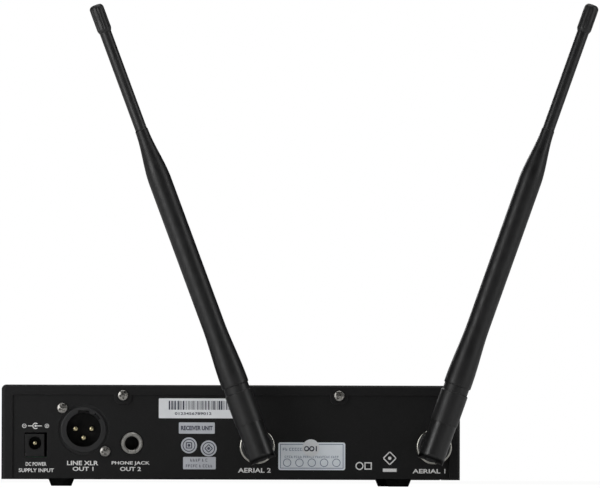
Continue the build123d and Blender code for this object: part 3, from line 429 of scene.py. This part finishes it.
def lathe(bm, profile, place, segments=96, ripple=None):
    """Revolves a profile of (radius, height) points about the local Z of place.

    ripple(angle, index) gives a change of radius for that profile point.
    """
    rings = []
    for index, (radius, height) in enumerate(profile):
        if radius <= 0:
            rings.append([bm.verts.new(place @ Vector((0, 0, height)))])
            continue
        ring = []
        for step in range(segments):
            angle = 2 * math.pi * step / segments
            r = radius + (ripple(angle, index) if ripple else 0.0)
            ring.append(bm.verts.new(place @ Vector((r * math.cos(angle), r * math.sin(angle), height))))
        rings.append(ring)
    closed = len(rings[0]) > 1 and len(rings[-1]) > 1
    pairs = list(zip(rings, rings[1:]))
    if closed:
        pairs.append((rings[-1], rings[0]))
    for lower, upper in pairs:
        for step in range(segments):
            after = (step + 1) % segments
            if len(lower) == 1:
                bm.faces.new((lower[0], upper[step], upper[after]))
            elif len(upper) == 1:
                bm.faces.new((lower[step], lower[after], upper[0]))
            else:
                bm.faces.new((lower[step], lower[after], upper[after], upper[step]))


def rear_place(x, z, y=None):
    """Matrix from (right, up, out) on the rear panel, as one faces it, to the shared frame."""
    origin = Vector((x, REAR_Y if y is None else y, z))
    return Matrix(((-1, 0, 0, origin.x), (0, 0, 1, origin.y), (0, 1, 0, origin.z), (0, 0, 0, 1)))


def front_place(x, z, y):
    """Matrix from (right, up, out) on the front panel, as one faces it, to the shared frame."""
    return Matrix(((1, 0, 0, x), (0, 0, -1, y), (0, 1, 0, z), (0, 0, 0, 1)))


PRINT_LOW = -0.01 * MM
PRINT_HIGH = 0.035 * MM


def prism(bm, outline, place, low=PRINT_LOW, high=PRINT_HIGH):
    """A closed flat prism over an outline of (right, up) points."""
    lower = [bm.verts.new(place @ Vector((u, v, low))) for u, v in outline]
    upper = [bm.verts.new(place @ Vector((u, v, high))) for u, v in outline]
    bm.faces.new(lower[::-1])
    bm.faces.new(upper)
    for step in range(len(outline)):
        after = (step + 1) % len(outline)
        bm.faces.new((lower[step], lower[after], upper[after], upper[step]))


def bar(bm, place, u, v, width, height, turn=0.0):
    """A printed rectangle centred at (u, v)."""
    c, s = math.cos(turn), math.sin(turn)
    corners = ((-0.5, -0.5), (0.5, -0.5), (0.5, 0.5), (-0.5, 0.5))
    outline = [(u + a * width * c - b * height * s, v + a * width * s + b * height * c) for a, b in corners]
    prism(bm, outline, place)


def arc(bm, place, u, v, radius, stroke, start=0.0, end=360.0, steps=40):
    """A printed ring or arc of the given stroke, as one closed shell."""
    full = end - start >= 360.0
    count = steps if full else steps + 1
    angles = [math.radians(start + (end - start) * step / steps) for step in range(count)]
    rings = []
    for angle in angles:
        ring = []
        for r, w in (
            (radius - stroke / 2, PRINT_LOW),
            (radius + stroke / 2, PRINT_LOW),
            (radius + stroke / 2, PRINT_HIGH),
            (radius - stroke / 2, PRINT_HIGH),
        ):
            ring.append(bm.verts.new(place @ Vector((u + r * math.cos(angle), v + r * math.sin(angle), w))))
        rings.append(ring)
    pairs = list(zip(rings, rings[1:]))
    if full:
        pairs.append((rings[-1], rings[0]))
    else:
        bm.faces.new(rings[0][::-1])
        bm.faces.new(rings[-1])
    for first, second in pairs:
        for corner in range(4):
            after = (corner + 1) % 4
            bm.faces.new((first[corner], first[after], second[after], second[corner]))


def words(bm, place, text, u, v, width, height, weight=0.02):
    """Printed words whose box is centred at (u, v) and has the given width and height."""
    curve = bpy.data.curves.new("lettering", "FONT")
    curve.body = text
    curve.offset = weight
    curve.extrude = 0.01
    curve.resolution_u = 3
    maker = bpy.data.objects.new("lettering", curve)
    scene.collection.objects.link(maker)
    bpy.context.view_layer.update()
    mesh = bpy.data.meshes.new_from_object(maker.evaluated_get(bpy.context.evaluated_depsgraph_get()))
    bpy.data.objects.remove(maker)
    bpy.data.curves.remove(curve)
    xs = [vertex.co.x for vertex in mesh.vertices]
    ys = [vertex.co.y for vertex in mesh.vertices]
    scale_u = width / (max(xs) - min(xs))
    scale_v = height / (max(ys) - min(ys))
    centre_u, centre_v = (max(xs) + min(xs)) / 2, (max(ys) + min(ys)) / 2
    for vertex in mesh.vertices:
        level = PRINT_HIGH if vertex.co.z > 0 else PRINT_LOW
        vertex.co = place @ Vector(
            (u + (vertex.co.x - centre_u) * scale_u, v + (vertex.co.y - centre_v) * scale_v, level)
        )
    bm.from_mesh(mesh)
    bpy.data.meshes.remove(mesh)
    bmesh.ops.remove_doubles(bm, verts=bm.verts[:], dist=1e-7)


def dummy_line(bm, place, rng, u, v, width, height):
    """A line of small strokes that reads as fine print from afar and says nothing."""
    stroke = height * 0.17
    at = u - width / 2
    while at < u + width / 2 - height * 0.5:
        glyph = height * rng.uniform(0.5, 0.75)
        bar(bm, place, at + stroke / 2, v, stroke, height)
        for level in rng.sample((-0.41, 0.0, 0.41), 2):
            bar(bm, place, at + stroke + (glyph - stroke) / 2, v + level * height, glyph - stroke, stroke)
        at += glyph + height * (0.28 if rng.random() < 0.85 else 0.7)


# ---------------------------------------------------------------- antennas


def smooth_step(t):
    return t * t * (3 - 2 * t)


def eased(start, end, steps=24):
    """Points from one (radius, height) to another, with the radius easing in and out."""
    for step in range(1, steps + 1):
        t = step / steps
        yield (
            start[0] + (end[0] - start[0]) * smooth_step(t),
            start[1] + (end[1] - start[1]) * t,
        )


# Radii of the whip, and heights above its pivot, in mm
ROD = 2.75
BOOT_BASE, BOOT_BODY, BOOT_NECK = 6.4, 5.3, 3.0
CAP_RADIUS, CAP_DOME = 3.4, 1.93
ROD_LOW = 19.7
BOOT_LOW, BASE_END, BODY_LOW = 29.6, 32.1, 59.0
BODY_END, NECK_END, BOOT_HIGH = 129.6, 154.4, 155.0
CAP_LOW, DOME_LOW, TIP = 202.6, 213.9, 216.0
FLUTES, FLUTE_DEPTH = 8, 0.42
FLUTE_LOW, FLUTE_HIGH = CAP_LOW + 1.0, 214.6
KNURLS, KNURL_DEPTH = 24, 0.22


def boot_profile():
    """Radius and height of the rubber boot, in mm above the pivot."""
    points = [(ROD, BOOT_LOW), (6.0, BOOT_LOW), (6.25, BOOT_LOW + 0.12), (6.38, BOOT_LOW + 0.4)]
    points += [(BOOT_BASE, BOOT_LOW + 0.8), (BOOT_BASE, BASE_END)]
    points += eased((BOOT_BASE, BASE_END), (BOOT_BODY, BODY_LOW))
    points += [(BOOT_BODY, BODY_LOW + (BODY_END - BODY_LOW) * step / 12) for step in range(1, 13)]
    points += eased((BOOT_BODY, BODY_END), (BOOT_NECK, NECK_END))
    points += [(2.97, NECK_END + 0.2), (2.87, NECK_END + 0.45), (ROD, BOOT_HIGH)]
    return points


def cap_profile():
    """Radius and height of the fluted cap, in mm above the pivot."""
    points = [(0.0, CAP_LOW), (ROD, CAP_LOW), (2.87, CAP_LOW + 0.1)]
    points += [(3.3, CAP_LOW + 1.2), (3.38, CAP_LOW + 1.5)]
    points += [(CAP_RADIUS, CAP_LOW + 1.8 + step) for step in range(9)]
    flat_top = 1.45
    for step in range(1, 10):
        angle = math.radians(90 * step / 9)
        r = flat_top + CAP_DOME * math.cos(angle)
        points.append((r, DOME_LOW + (TIP - DOME_LOW) * math.sin(angle)))
    points.append((0.0, TIP))
    return points


def sleeve_profile(length):
    """Radius and height of the bayonet sleeve, whose knurled band is its fifth and sixth points."""
    return [
        (4.95, 0.0),
        (7.3, 0.0),
        (7.75, 0.25),
        (7.75, 1.0),
        (8.05, 1.25),
        (8.05, 6.6),
        (7.75, 6.85),
        (7.75, 7.5),
        (8.18, 7.75),
        (8.2, length - 0.8),
        (8.17, length - 0.55),
        (8.08, length - 0.34),
        (7.94, length - 0.18),
        (7.76, length - 0.07),
        (7.5, length),
        (4.35, length),
        (4.35, length - 1.0),
        (4.95, length - 1.0),
    ]


def antenna(letter):
    """Fine meshes for one antenna's boot, rod, cap and knurled bayonet sleeve."""
    axis, pivot = joint_axis(f"antenna_fold_{letter}")
    up = Vector((0, 1, 0)).cross(axis).normalized()
    across = -axis
    place = Matrix.Identity(4)
    for column, direction in enumerate((across, Vector((0, 1, 0)), up)):
        place.col[column][:3] = direction
    place.col[3][:3] = pivot
    place = place @ Matrix.Scale(MM, 4)
    whip = f"whip_{letter}"

    bm = bmesh.new()
    lathe(bm, boot_profile(), place)
    boot = finished(f"boot_{letter}", bm, BOOT, whip, smooth=35)
    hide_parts(f"antenna_{letter}_boot")

    bm = bmesh.new()
    rod_length = CAP_LOW + 0.3 - ROD_LOW
    heights = [ROD_LOW + rod_length * step / 24 for step in range(25)]
    lathe(bm, [(0.0, heights[0]), *((ROD, h) for h in heights), (0.0, heights[-1])], place, segments=64)
    rod = finished(f"rod_{letter}", bm, WHIP, whip, smooth=35)
    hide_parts(f"antenna_{letter}_rod")

    profile = cap_profile()

    def flute(angle, index):
        height = profile[index][1]
        fade = max(0.0, min(1.0, (height - FLUTE_LOW) / 1.2, (FLUTE_HIGH - height) / 1.6))
        return -FLUTE_DEPTH * fade * max(0.0, math.cos(FLUTES * angle)) ** 3

    bm = bmesh.new()
    lathe(bm, profile, place, segments=160, ripple=flute)
    cap = finished(f"cap_{letter}", bm, WHIP, whip, smooth=60)
    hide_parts(f"antenna_{letter}_cap")

    low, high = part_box(f"antenna_{letter}_bayonet_sleeve")
    length = (high.y - low.y) / MM
    centre = middle(f"antenna_{letter}_bayonet_sleeve")
    sleeve_place = rear_place(centre.x, centre.z, low.y) @ Matrix.Scale(MM, 4)

    def knurl(angle, index):
        return -KNURL_DEPTH * abs(math.sin(KNURLS * angle)) if index in (4, 5) else 0.0

    bm = bmesh.new()
    lathe(bm, sleeve_profile(length), sleeve_place, segments=288, ripple=knurl)
    sleeve = finished(f"sleeve_{letter}", bm, SLEEVE, f"bayonet_sleeve_{letter}", smooth=30)
    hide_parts(f"antenna_{letter}_bayonet_sleeve")


for letter in "ab":
    antenna(letter)


# ---------------------------------------------------------------- screws


HEAD_RADIUS, HEAD_HEIGHT = 2.5, 1.7
HEAD_EDGE, HEAD_EDGE_DROP, DOME_DROP = 0.35, 0.42, 0.55
RECESS_HALF_WIDTH, RECESS_HALF_LENGTH, RECESS_DEPTH = 0.48, 1.65, 1.2
SHANK, THREAD_ROOT, THREAD_PITCH = 1.45, 1.22, 0.5
SCREW_RIBS, HEAD_RINGS = 96, 20


def head_top(r, angle):
    """Height of a screw head's top: a dome with a rounded edge and a tapered cross recess."""
    dome = HEAD_HEIGHT - DOME_DROP * (r / HEAD_RADIUS) ** 2
    if r > HEAD_RADIUS - HEAD_EDGE:
        edge = (r - HEAD_RADIUS + HEAD_EDGE) / HEAD_EDGE
        dome -= HEAD_EDGE_DROP * edge * edge
    u, v = abs(r * math.cos(angle)), abs(r * math.sin(angle))
    wide = max(0.0, min(1.0, (RECESS_HALF_WIDTH - min(u, v)) / 0.10))
    deep = max(0.0, min(1.0, (RECESS_HALF_LENGTH - max(u, v)) / 0.55))
    return dome - RECESS_DEPTH * wide * deep


def screw_ring(bm, place, r, level=None):
    """Ring of vertices round local Z at radius r, at one level or, without one, on the head's top."""
    ring = []
    for step in range(SCREW_RIBS):
        angle = 2 * math.pi * step / SCREW_RIBS
        height = head_top(r, angle) if level is None else level
        ring.append(bm.verts.new(place @ Vector((r * math.cos(angle), r * math.sin(angle), height))))
    return ring


def bridge(bm, inner, outer):
    """Faces between two rings of as many vertices."""
    for step in range(len(inner)):
        after = (step + 1) % len(inner)
        bm.faces.new((inner[step], inner[after], outer[after], outer[step]))


def screw_head(bm, place):
    """Rounded pan head with a cross recess, in millimetres; returns the ring where the shank starts."""
    centre = bm.verts.new(place @ Vector((0, 0, head_top(0, 0))))
    shells = [screw_ring(bm, place, HEAD_RADIUS * ring / HEAD_RINGS) for ring in range(1, HEAD_RINGS + 1)]
    shells += [screw_ring(bm, place, HEAD_RADIUS, 0.0), screw_ring(bm, place, SHANK, 0.0)]
    for step in range(SCREW_RIBS):
        bm.faces.new((centre, shells[0][step], shells[0][(step + 1) % SCREW_RIBS]))
    for inner, outer in zip(shells, shells[1:]):
        bridge(bm, inner, outer)
    return shells[-1]


def pan_screws(name, node, places, length):
    """Replaces a CAD group of screws; each place is a matrix whose local Z points out of the head."""
    bm = bmesh.new()
    for place in places:
        ring = screw_head(bm, place)
        for half_turn in range(1, 2 * int(length / THREAD_PITCH)):
            r = SHANK if half_turn % 2 else THREAD_ROOT
            below = screw_ring(bm, place, r, -THREAD_PITCH / 2 * half_turn)
            bridge(bm, ring, below)
            ring = below
        bm.faces.new(ring)
    piece = finished(name, bm, SCREW, "chassis", smooth=35)
    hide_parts(node)


def turned(place, degrees):
    return place @ Matrix.Rotation(math.radians(degrees), 4, "Z") @ Matrix.Scale(MM, 4)


cover_low, cover_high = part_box("cover_rear_screws")
cover_radius = (cover_high.z - cover_low.z) / 2
cover_z = (cover_low.z + cover_high.z) / 2
pan_screws(
    "rear_cover_screw_heads",
    "cover_rear_screws",
    [
        turned(rear_place(cover_high.x - cover_radius, cover_z, REAR_Y + 1.0 * MM), 12),
        turned(rear_place(cover_low.x + cover_radius, cover_z, REAR_Y + 1.0 * MM), 57),
    ],
    4.5,
)
xlr_low, xlr_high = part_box("xlr_screws")
pan_screws(
    "connector_screw_heads",
    "xlr_screws",
    [
        turned(rear_place(xlr_high.x - cover_radius, xlr_high.z - cover_radius, REAR_Y), 33),
        turned(rear_place(xlr_low.x + cover_radius, xlr_low.z + cover_radius, REAR_Y), 8),
    ],
    6.0,
)


# ---------------------------------------------------------------- rear panel legends and symbols

# (words, X of the centre, height of the centre, width, letter height), in mm
REAR_LEGENDS = (
    ("DC POWER", 90.0, 6.5, 9.6, 1.75),
    ("SUPPLY INPUT", 89.9, 3.6, 16.2, 1.75),
    ("LINE XLR", 68.5, 7.0, 14.4, 2.0),
    ("OUT 1", 68.3, 4.3, 9.6, 1.9),
    ("PHONE JACK", 46.3, 6.9, 17.6, 1.95),
    ("OUT 2", 46.4, 4.3, 9.6, 1.9),
    ("AERIAL 2", -10.9, 3.85, 15.2, 2.15),
    ("AERIAL 1", -91.7, 3.65, 15.2, 2.0),
)
bm = bmesh.new()
for text, x, z, wide, tall in REAR_LEGENDS:
    words(bm, rear_place(x * MM, z * MM), text, 0.0, 0.0, wide * MM, tall * MM)
finished("rear_legends", bm, WHITE_INK, "chassis")


def polarity_symbol(bm):
    """Centre-positive symbol: a dot, a cup round it, a lead each way, and plus and minus signs."""
    place = rear_place(90.3 * MM, 24.1 * MM)
    arc(bm, place, 0, 0, 1.25 * MM, 0.4 * MM, 50, 310)
    arc(bm, place, 0, 0, 0.25 * MM, 0.5 * MM)
    bar(bm, place, 1.6 * MM, 0, 2.6 * MM, 0.35 * MM)
    bar(bm, place, -2.5 * MM, 0, 2.0 * MM, 0.35 * MM)
    for side in (-1, 1):
        arc(bm, place, side * 5.2 * MM, 0, 0.85 * MM, 0.26 * MM)
        bar(bm, place, side * 5.2 * MM, 0, 0.9 * MM, 0.26 * MM)
    bar(bm, place, 5.2 * MM, 0, 0.26 * MM, 0.9 * MM)


def plain_marks(bm):
    """Two neutral marks: a ring beside a square, and a dotted diamond over a bar."""
    place = rear_place(-61.5 * MM, 6.0 * MM)
    arc(bm, place, -2.0 * MM, 0, 1.6 * MM, 0.5 * MM)
    for side in (-1, 1):
        bar(bm, place, 2.0 * MM, side * 1.45 * MM, 3.4 * MM, 0.5 * MM)
        bar(bm, place, (2.0 + side * 1.45) * MM, 0, 0.5 * MM, 2.4 * MM)
    place = rear_place(-73.5 * MM, 9.6 * MM)
    for quarter in range(4):
        turn = math.radians(45 + 90 * quarter)
        u, v = 2.1 * MM * math.cos(turn), 2.1 * MM * math.sin(turn)
        bar(bm, place, u, v, 0.5 * MM, 4.0 * MM, turn)
    arc(bm, place, 0, 0, 0.4 * MM, 0.75 * MM)
    bar(bm, place, 0, -5.55 * MM, 6.4 * MM, 1.5 * MM)


bm = bmesh.new()
polarity_symbol(bm)
plain_marks(bm)
finished("rear_symbols", bm, WHITE_INK, "chassis")


# ---------------------------------------------------------------- label print

LABEL_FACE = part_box("serial_label")[1].y


def label_place(x, z):
    return rear_place(x * MM, z * MM, LABEL_FACE)


rng = random.Random(11)
bm = bmesh.new()
# Serial label: bars with a line of fine print below
place = label_place(13.2, 33.8)
at = -15.6
while at < 15.4:
    wide = rng.choice((0.22, 0.22, 0.45, 0.68))
    bar(bm, place, (at + wide / 2) * MM, 0, wide * MM, 4.1 * MM)
    at += wide + rng.choice((0.24, 0.3, 0.5))
words(bm, label_place(17.5, 30.0), "0123456789012", 0, 0, 17 * MM, 1.25 * MM)
# Name label: one bold line
words(bm, label_place(15.8, 23.3), "RECEIVER UNIT", 0, 0, 14.6 * MM, 2.1 * MM, weight=0.035)
# Round labels: a ring and a dotted square each
for x, z, tilt in ((19.4, 15.3, 0.0), (10.3, 13.9, math.pi / 4)):
    place = label_place(x, z)
    arc(bm, place, 0, 0, 2.75 * MM, 0.4 * MM)
    for quarter in range(4):
        turn = tilt + quarter * math.pi / 2
        u, v = 1.25 * MM * math.cos(turn), 1.25 * MM * math.sin(turn)
        bar(bm, place, u, v, 0.42 * MM, 2.5 * MM, turn)
    arc(bm, place, 0, 0, 0.35 * MM, 0.6 * MM)
# Band label: two lines
dummy_line(bm, label_place(14.5, 8.5), rng, 0, 0, 8.5 * MM, 1.3 * MM)
dummy_line(bm, label_place(14.5, 5.8), rng, 0, 0, 12.6 * MM, 1.3 * MM)
finished("label_print_dark", bm, DARK_INK, "chassis")

bm = bmesh.new()
# Inspection label: thin frame, a row of rings and two lines of fine print
place = label_place(-37.4, 10.4)
for side in (-1, 1):
    bar(bm, place, 0, side * 5.5 * MM, 29.0 * MM, 0.3 * MM)
    bar(bm, place, side * 14.5 * MM, 0, 0.3 * MM, 11.3 * MM)
for step in range(5):
    arc(bm, place, (-11.4 + 5.7 * step) * MM, -3.0 * MM, 1.75 * MM, 0.3 * MM)
dummy_line(bm, label_place(-29.0, 13.6), rng, 0, 0, 10 * MM, 1.3 * MM)
dummy_line(bm, label_place(-37.4, 10.1), rng, 0, 0, 25 * MM, 1.0 * MM)
finished("label_print_grey", bm, GREY_INK, "chassis")

# Round seal that overlaps the inspection label's top edge
bm = bmesh.new()
seal_place = rear_place(-37.0 * MM, 14.3 * MM, LABEL_FACE + 0.05 * MM) @ Matrix.Scale(MM, 4)
lathe(bm, [(0.0, -0.04), (3.9, -0.04), (3.95, 0.0), (3.9, 0.06), (0.0, 0.06)], seal_place, segments=72)
finished("inspection_seal", bm, WHITE_FILM, "chassis", smooth=30)
bm = bmesh.new()
seal_print = rear_place(-37.0 * MM, 14.3 * MM, LABEL_FACE + 0.11 * MM)
arc(bm, seal_print, -2.0 * MM, -0.4 * MM, 0.95 * MM, 0.55 * MM)
arc(bm, seal_print, 0.4 * MM, -0.4 * MM, 0.95 * MM, 0.55 * MM)
bar(bm, seal_print, 2.5 * MM, -0.4 * MM, 0.55 * MM, 2.4 * MM)
finished("inspection_seal_print", bm, DARK_INK, "chassis")


# ---------------------------------------------------------------- front panel legends

bm = bmesh.new()
power = middle("power_button")
place = front_place(power.x, power.z - 9.5 * MM, FRONT_Y)
arc(bm, place, 0, 0, 1.3 * MM, 0.35 * MM, -240, 60)
bar(bm, place, 0, 0.9 * MM, 0.35 * MM, 1.6 * MM)
for name, mark in (("down_button", "-"), ("up_button", "+"), ("set_button", "SET")):
    centre = middle(name)
    place = front_place(centre.x, centre.z - 6.4 * MM, FRONT_Y)
    if mark == "SET":
        words(bm, place, mark, 0, 0, 4.6 * MM, 1.7 * MM)
        continue
    bar(bm, place, 0, 0, 1.9 * MM, 0.4 * MM)
    if mark == "+":
        bar(bm, place, 0, 0, 0.4 * MM, 1.9 * MM)
knob = middle("volume_knob")
place = front_place(knob.x, CONTROL_Z, FRONT_Y)
for step in range(11):
    turn = math.radians(240 - 30 * step)
    u, v = math.cos(turn) * 10.2 * MM, math.sin(turn) * 10.2 * MM
    bar(bm, place, u, v, 1.6 * MM, 0.3 * MM, turn)
for number, step in (("0", 0), ("5", 5), ("10", 10)):
    turn = math.radians(240 - 30 * step)
    u, v = math.cos(turn) * 12.8 * MM, math.sin(turn) * 12.8 * MM
    words(bm, place, number, u, v, 1.1 * MM * len(number), 1.7 * MM)
finished("front_legends", bm, WHITE_INK, "chassis")


# ---------------------------------------------------------------- floor, light and camera


FLOOR_RADIUS = 60.0
# How much the camera sees of the floor's own glow, and the glow's strength
FLOOR_SHARE, FLOOR_GLOW = 0.9, 1.07
# Strength of the white surround for every ray but the camera's
SURROUND = 0.032
LENS, SENSOR = 441.2, 36.0
CAMERA_ROLL = 0.15


def floor():
    """Very large pale disc under the feet."""
    bm = bmesh.new()
    bmesh.ops.create_circle(bm, cap_ends=True, segments=128, radius=FLOOR_RADIUS)
    mesh = bpy.data.meshes.new("floor")
    bm.to_mesh(mesh)
    bm.free()
    s = Shader("floor_paper", roughness=0.8, Specular_IOR_Level=0.1)
    s.colour(s.mixed(s.noise(3, detail=4), (0.86, 0.86, 0.86), (0.90, 0.90, 0.90)))
    s.bump(s.noise(900), 0.00002, 0.2)
    seen = s.math("MULTIPLY", s.node("ShaderNodeLightPath").outputs["Is Camera Ray"], FLOOR_SHARE)
    glow = s.node("ShaderNodeEmission", Strength=FLOOR_GLOW)
    mix = s.node("ShaderNodeMixShader", Fac=seen)
    s.tree.links.new(s.surface.outputs[0], mix.inputs[1])
    s.tree.links.new(glow.outputs[0], mix.inputs[2])
    s.tree.links.new(mix.outputs[0], s.tree.nodes["Material Output"].inputs["Surface"])
    mesh.materials.append(s.material)
    disc = bpy.data.objects.new("floor", mesh)
    disc.location.z = FLOOR_Z
    scene.collection.objects.link(disc)


def soft_box(name, place, target, size, power):
    """A rectangular studio light that points at the target."""
    light = bpy.data.lights.new(name, "AREA")
    light.shape = "RECTANGLE"
    light.size, light.size_y = size
    light.energy = power
    lamp = bpy.data.objects.new(name, light)
    lamp.location = place
    lamp.rotation_euler = (Vector(target) - Vector(place)).to_track_quat("-Z", "Y").to_euler()
    scene.collection.objects.link(lamp)
    return lamp


def studio():
    """White surround for the eye, a dim one for light and reflections, and five soft boxes."""
    world = bpy.data.worlds.new("studio")
    scene.world = world
    world.use_nodes = True
    tree = world.node_tree
    tree.nodes.clear()
    seen = tree.nodes.new("ShaderNodeBackground")
    seen.inputs["Color"].default_value = (1.0, 1.0, 1.0, 1.0)
    lit = tree.nodes.new("ShaderNodeBackground")
    lit.inputs["Color"].default_value = (1.0, 1.0, 1.0, 1.0)
    lit.inputs["Strength"].default_value = SURROUND
    path = tree.nodes.new("ShaderNodeLightPath")
    mix = tree.nodes.new("ShaderNodeMixShader")
    out = tree.nodes.new("ShaderNodeOutputWorld")
    tree.links.new(path.outputs["Is Camera Ray"], mix.inputs[0])
    tree.links.new(lit.outputs[0], mix.inputs[1])
    tree.links.new(seen.outputs[0], mix.inputs[2])
    tree.links.new(mix.outputs[0], out.inputs[0])
    aim = (0.0, 0.08, 0.08)
    soft_box("left_box", (0.90, 0.84, 0.32), aim, (0.42, 1.3), 3.7)
    soft_box("left_wash", (0.32, 0.44, 0.10), (0.05, 0.08, 0.05), (0.22, 0.40), 0.7)
    soft_box("right_box", (-1.15, 0.62, 0.38), aim, (0.42, 1.4), 5.2)
    soft_box("top_box", (0.0, 0.2, 1.8), (0, 0, 0), (1.6, 1.6), 14)
    soft_box("front_box", (0.5, -1.8, 1.0), (0, 0, 0.03), (1.0, 1.0), 14)


def camera():
    """Long lens level with the case, a little to the power inlet's side, looking slightly up."""
    data = bpy.data.cameras.new("camera")
    data.lens = LENS
    data.sensor_width = SENSOR
    data.clip_end = 100.0
    eye = Vector((0.079, 3.474, -0.0006))
    target = Vector((-0.0317, 0.074, 0.1086))
    shot = bpy.data.objects.new("camera", data)
    shot.location = eye
    shot.rotation_mode = "QUATERNION"
    aimed = (target - eye).to_track_quat("-Z", "Y")
    roll = Matrix.Rotation(math.radians(CAMERA_ROLL), 4, "Z").to_quaternion()
    shot.rotation_quaternion = aimed @ roll
    scene.collection.objects.link(shot)
    scene.camera = shot


floor()
studio()
camera()
scene.view_settings.view_transform = "Standard"
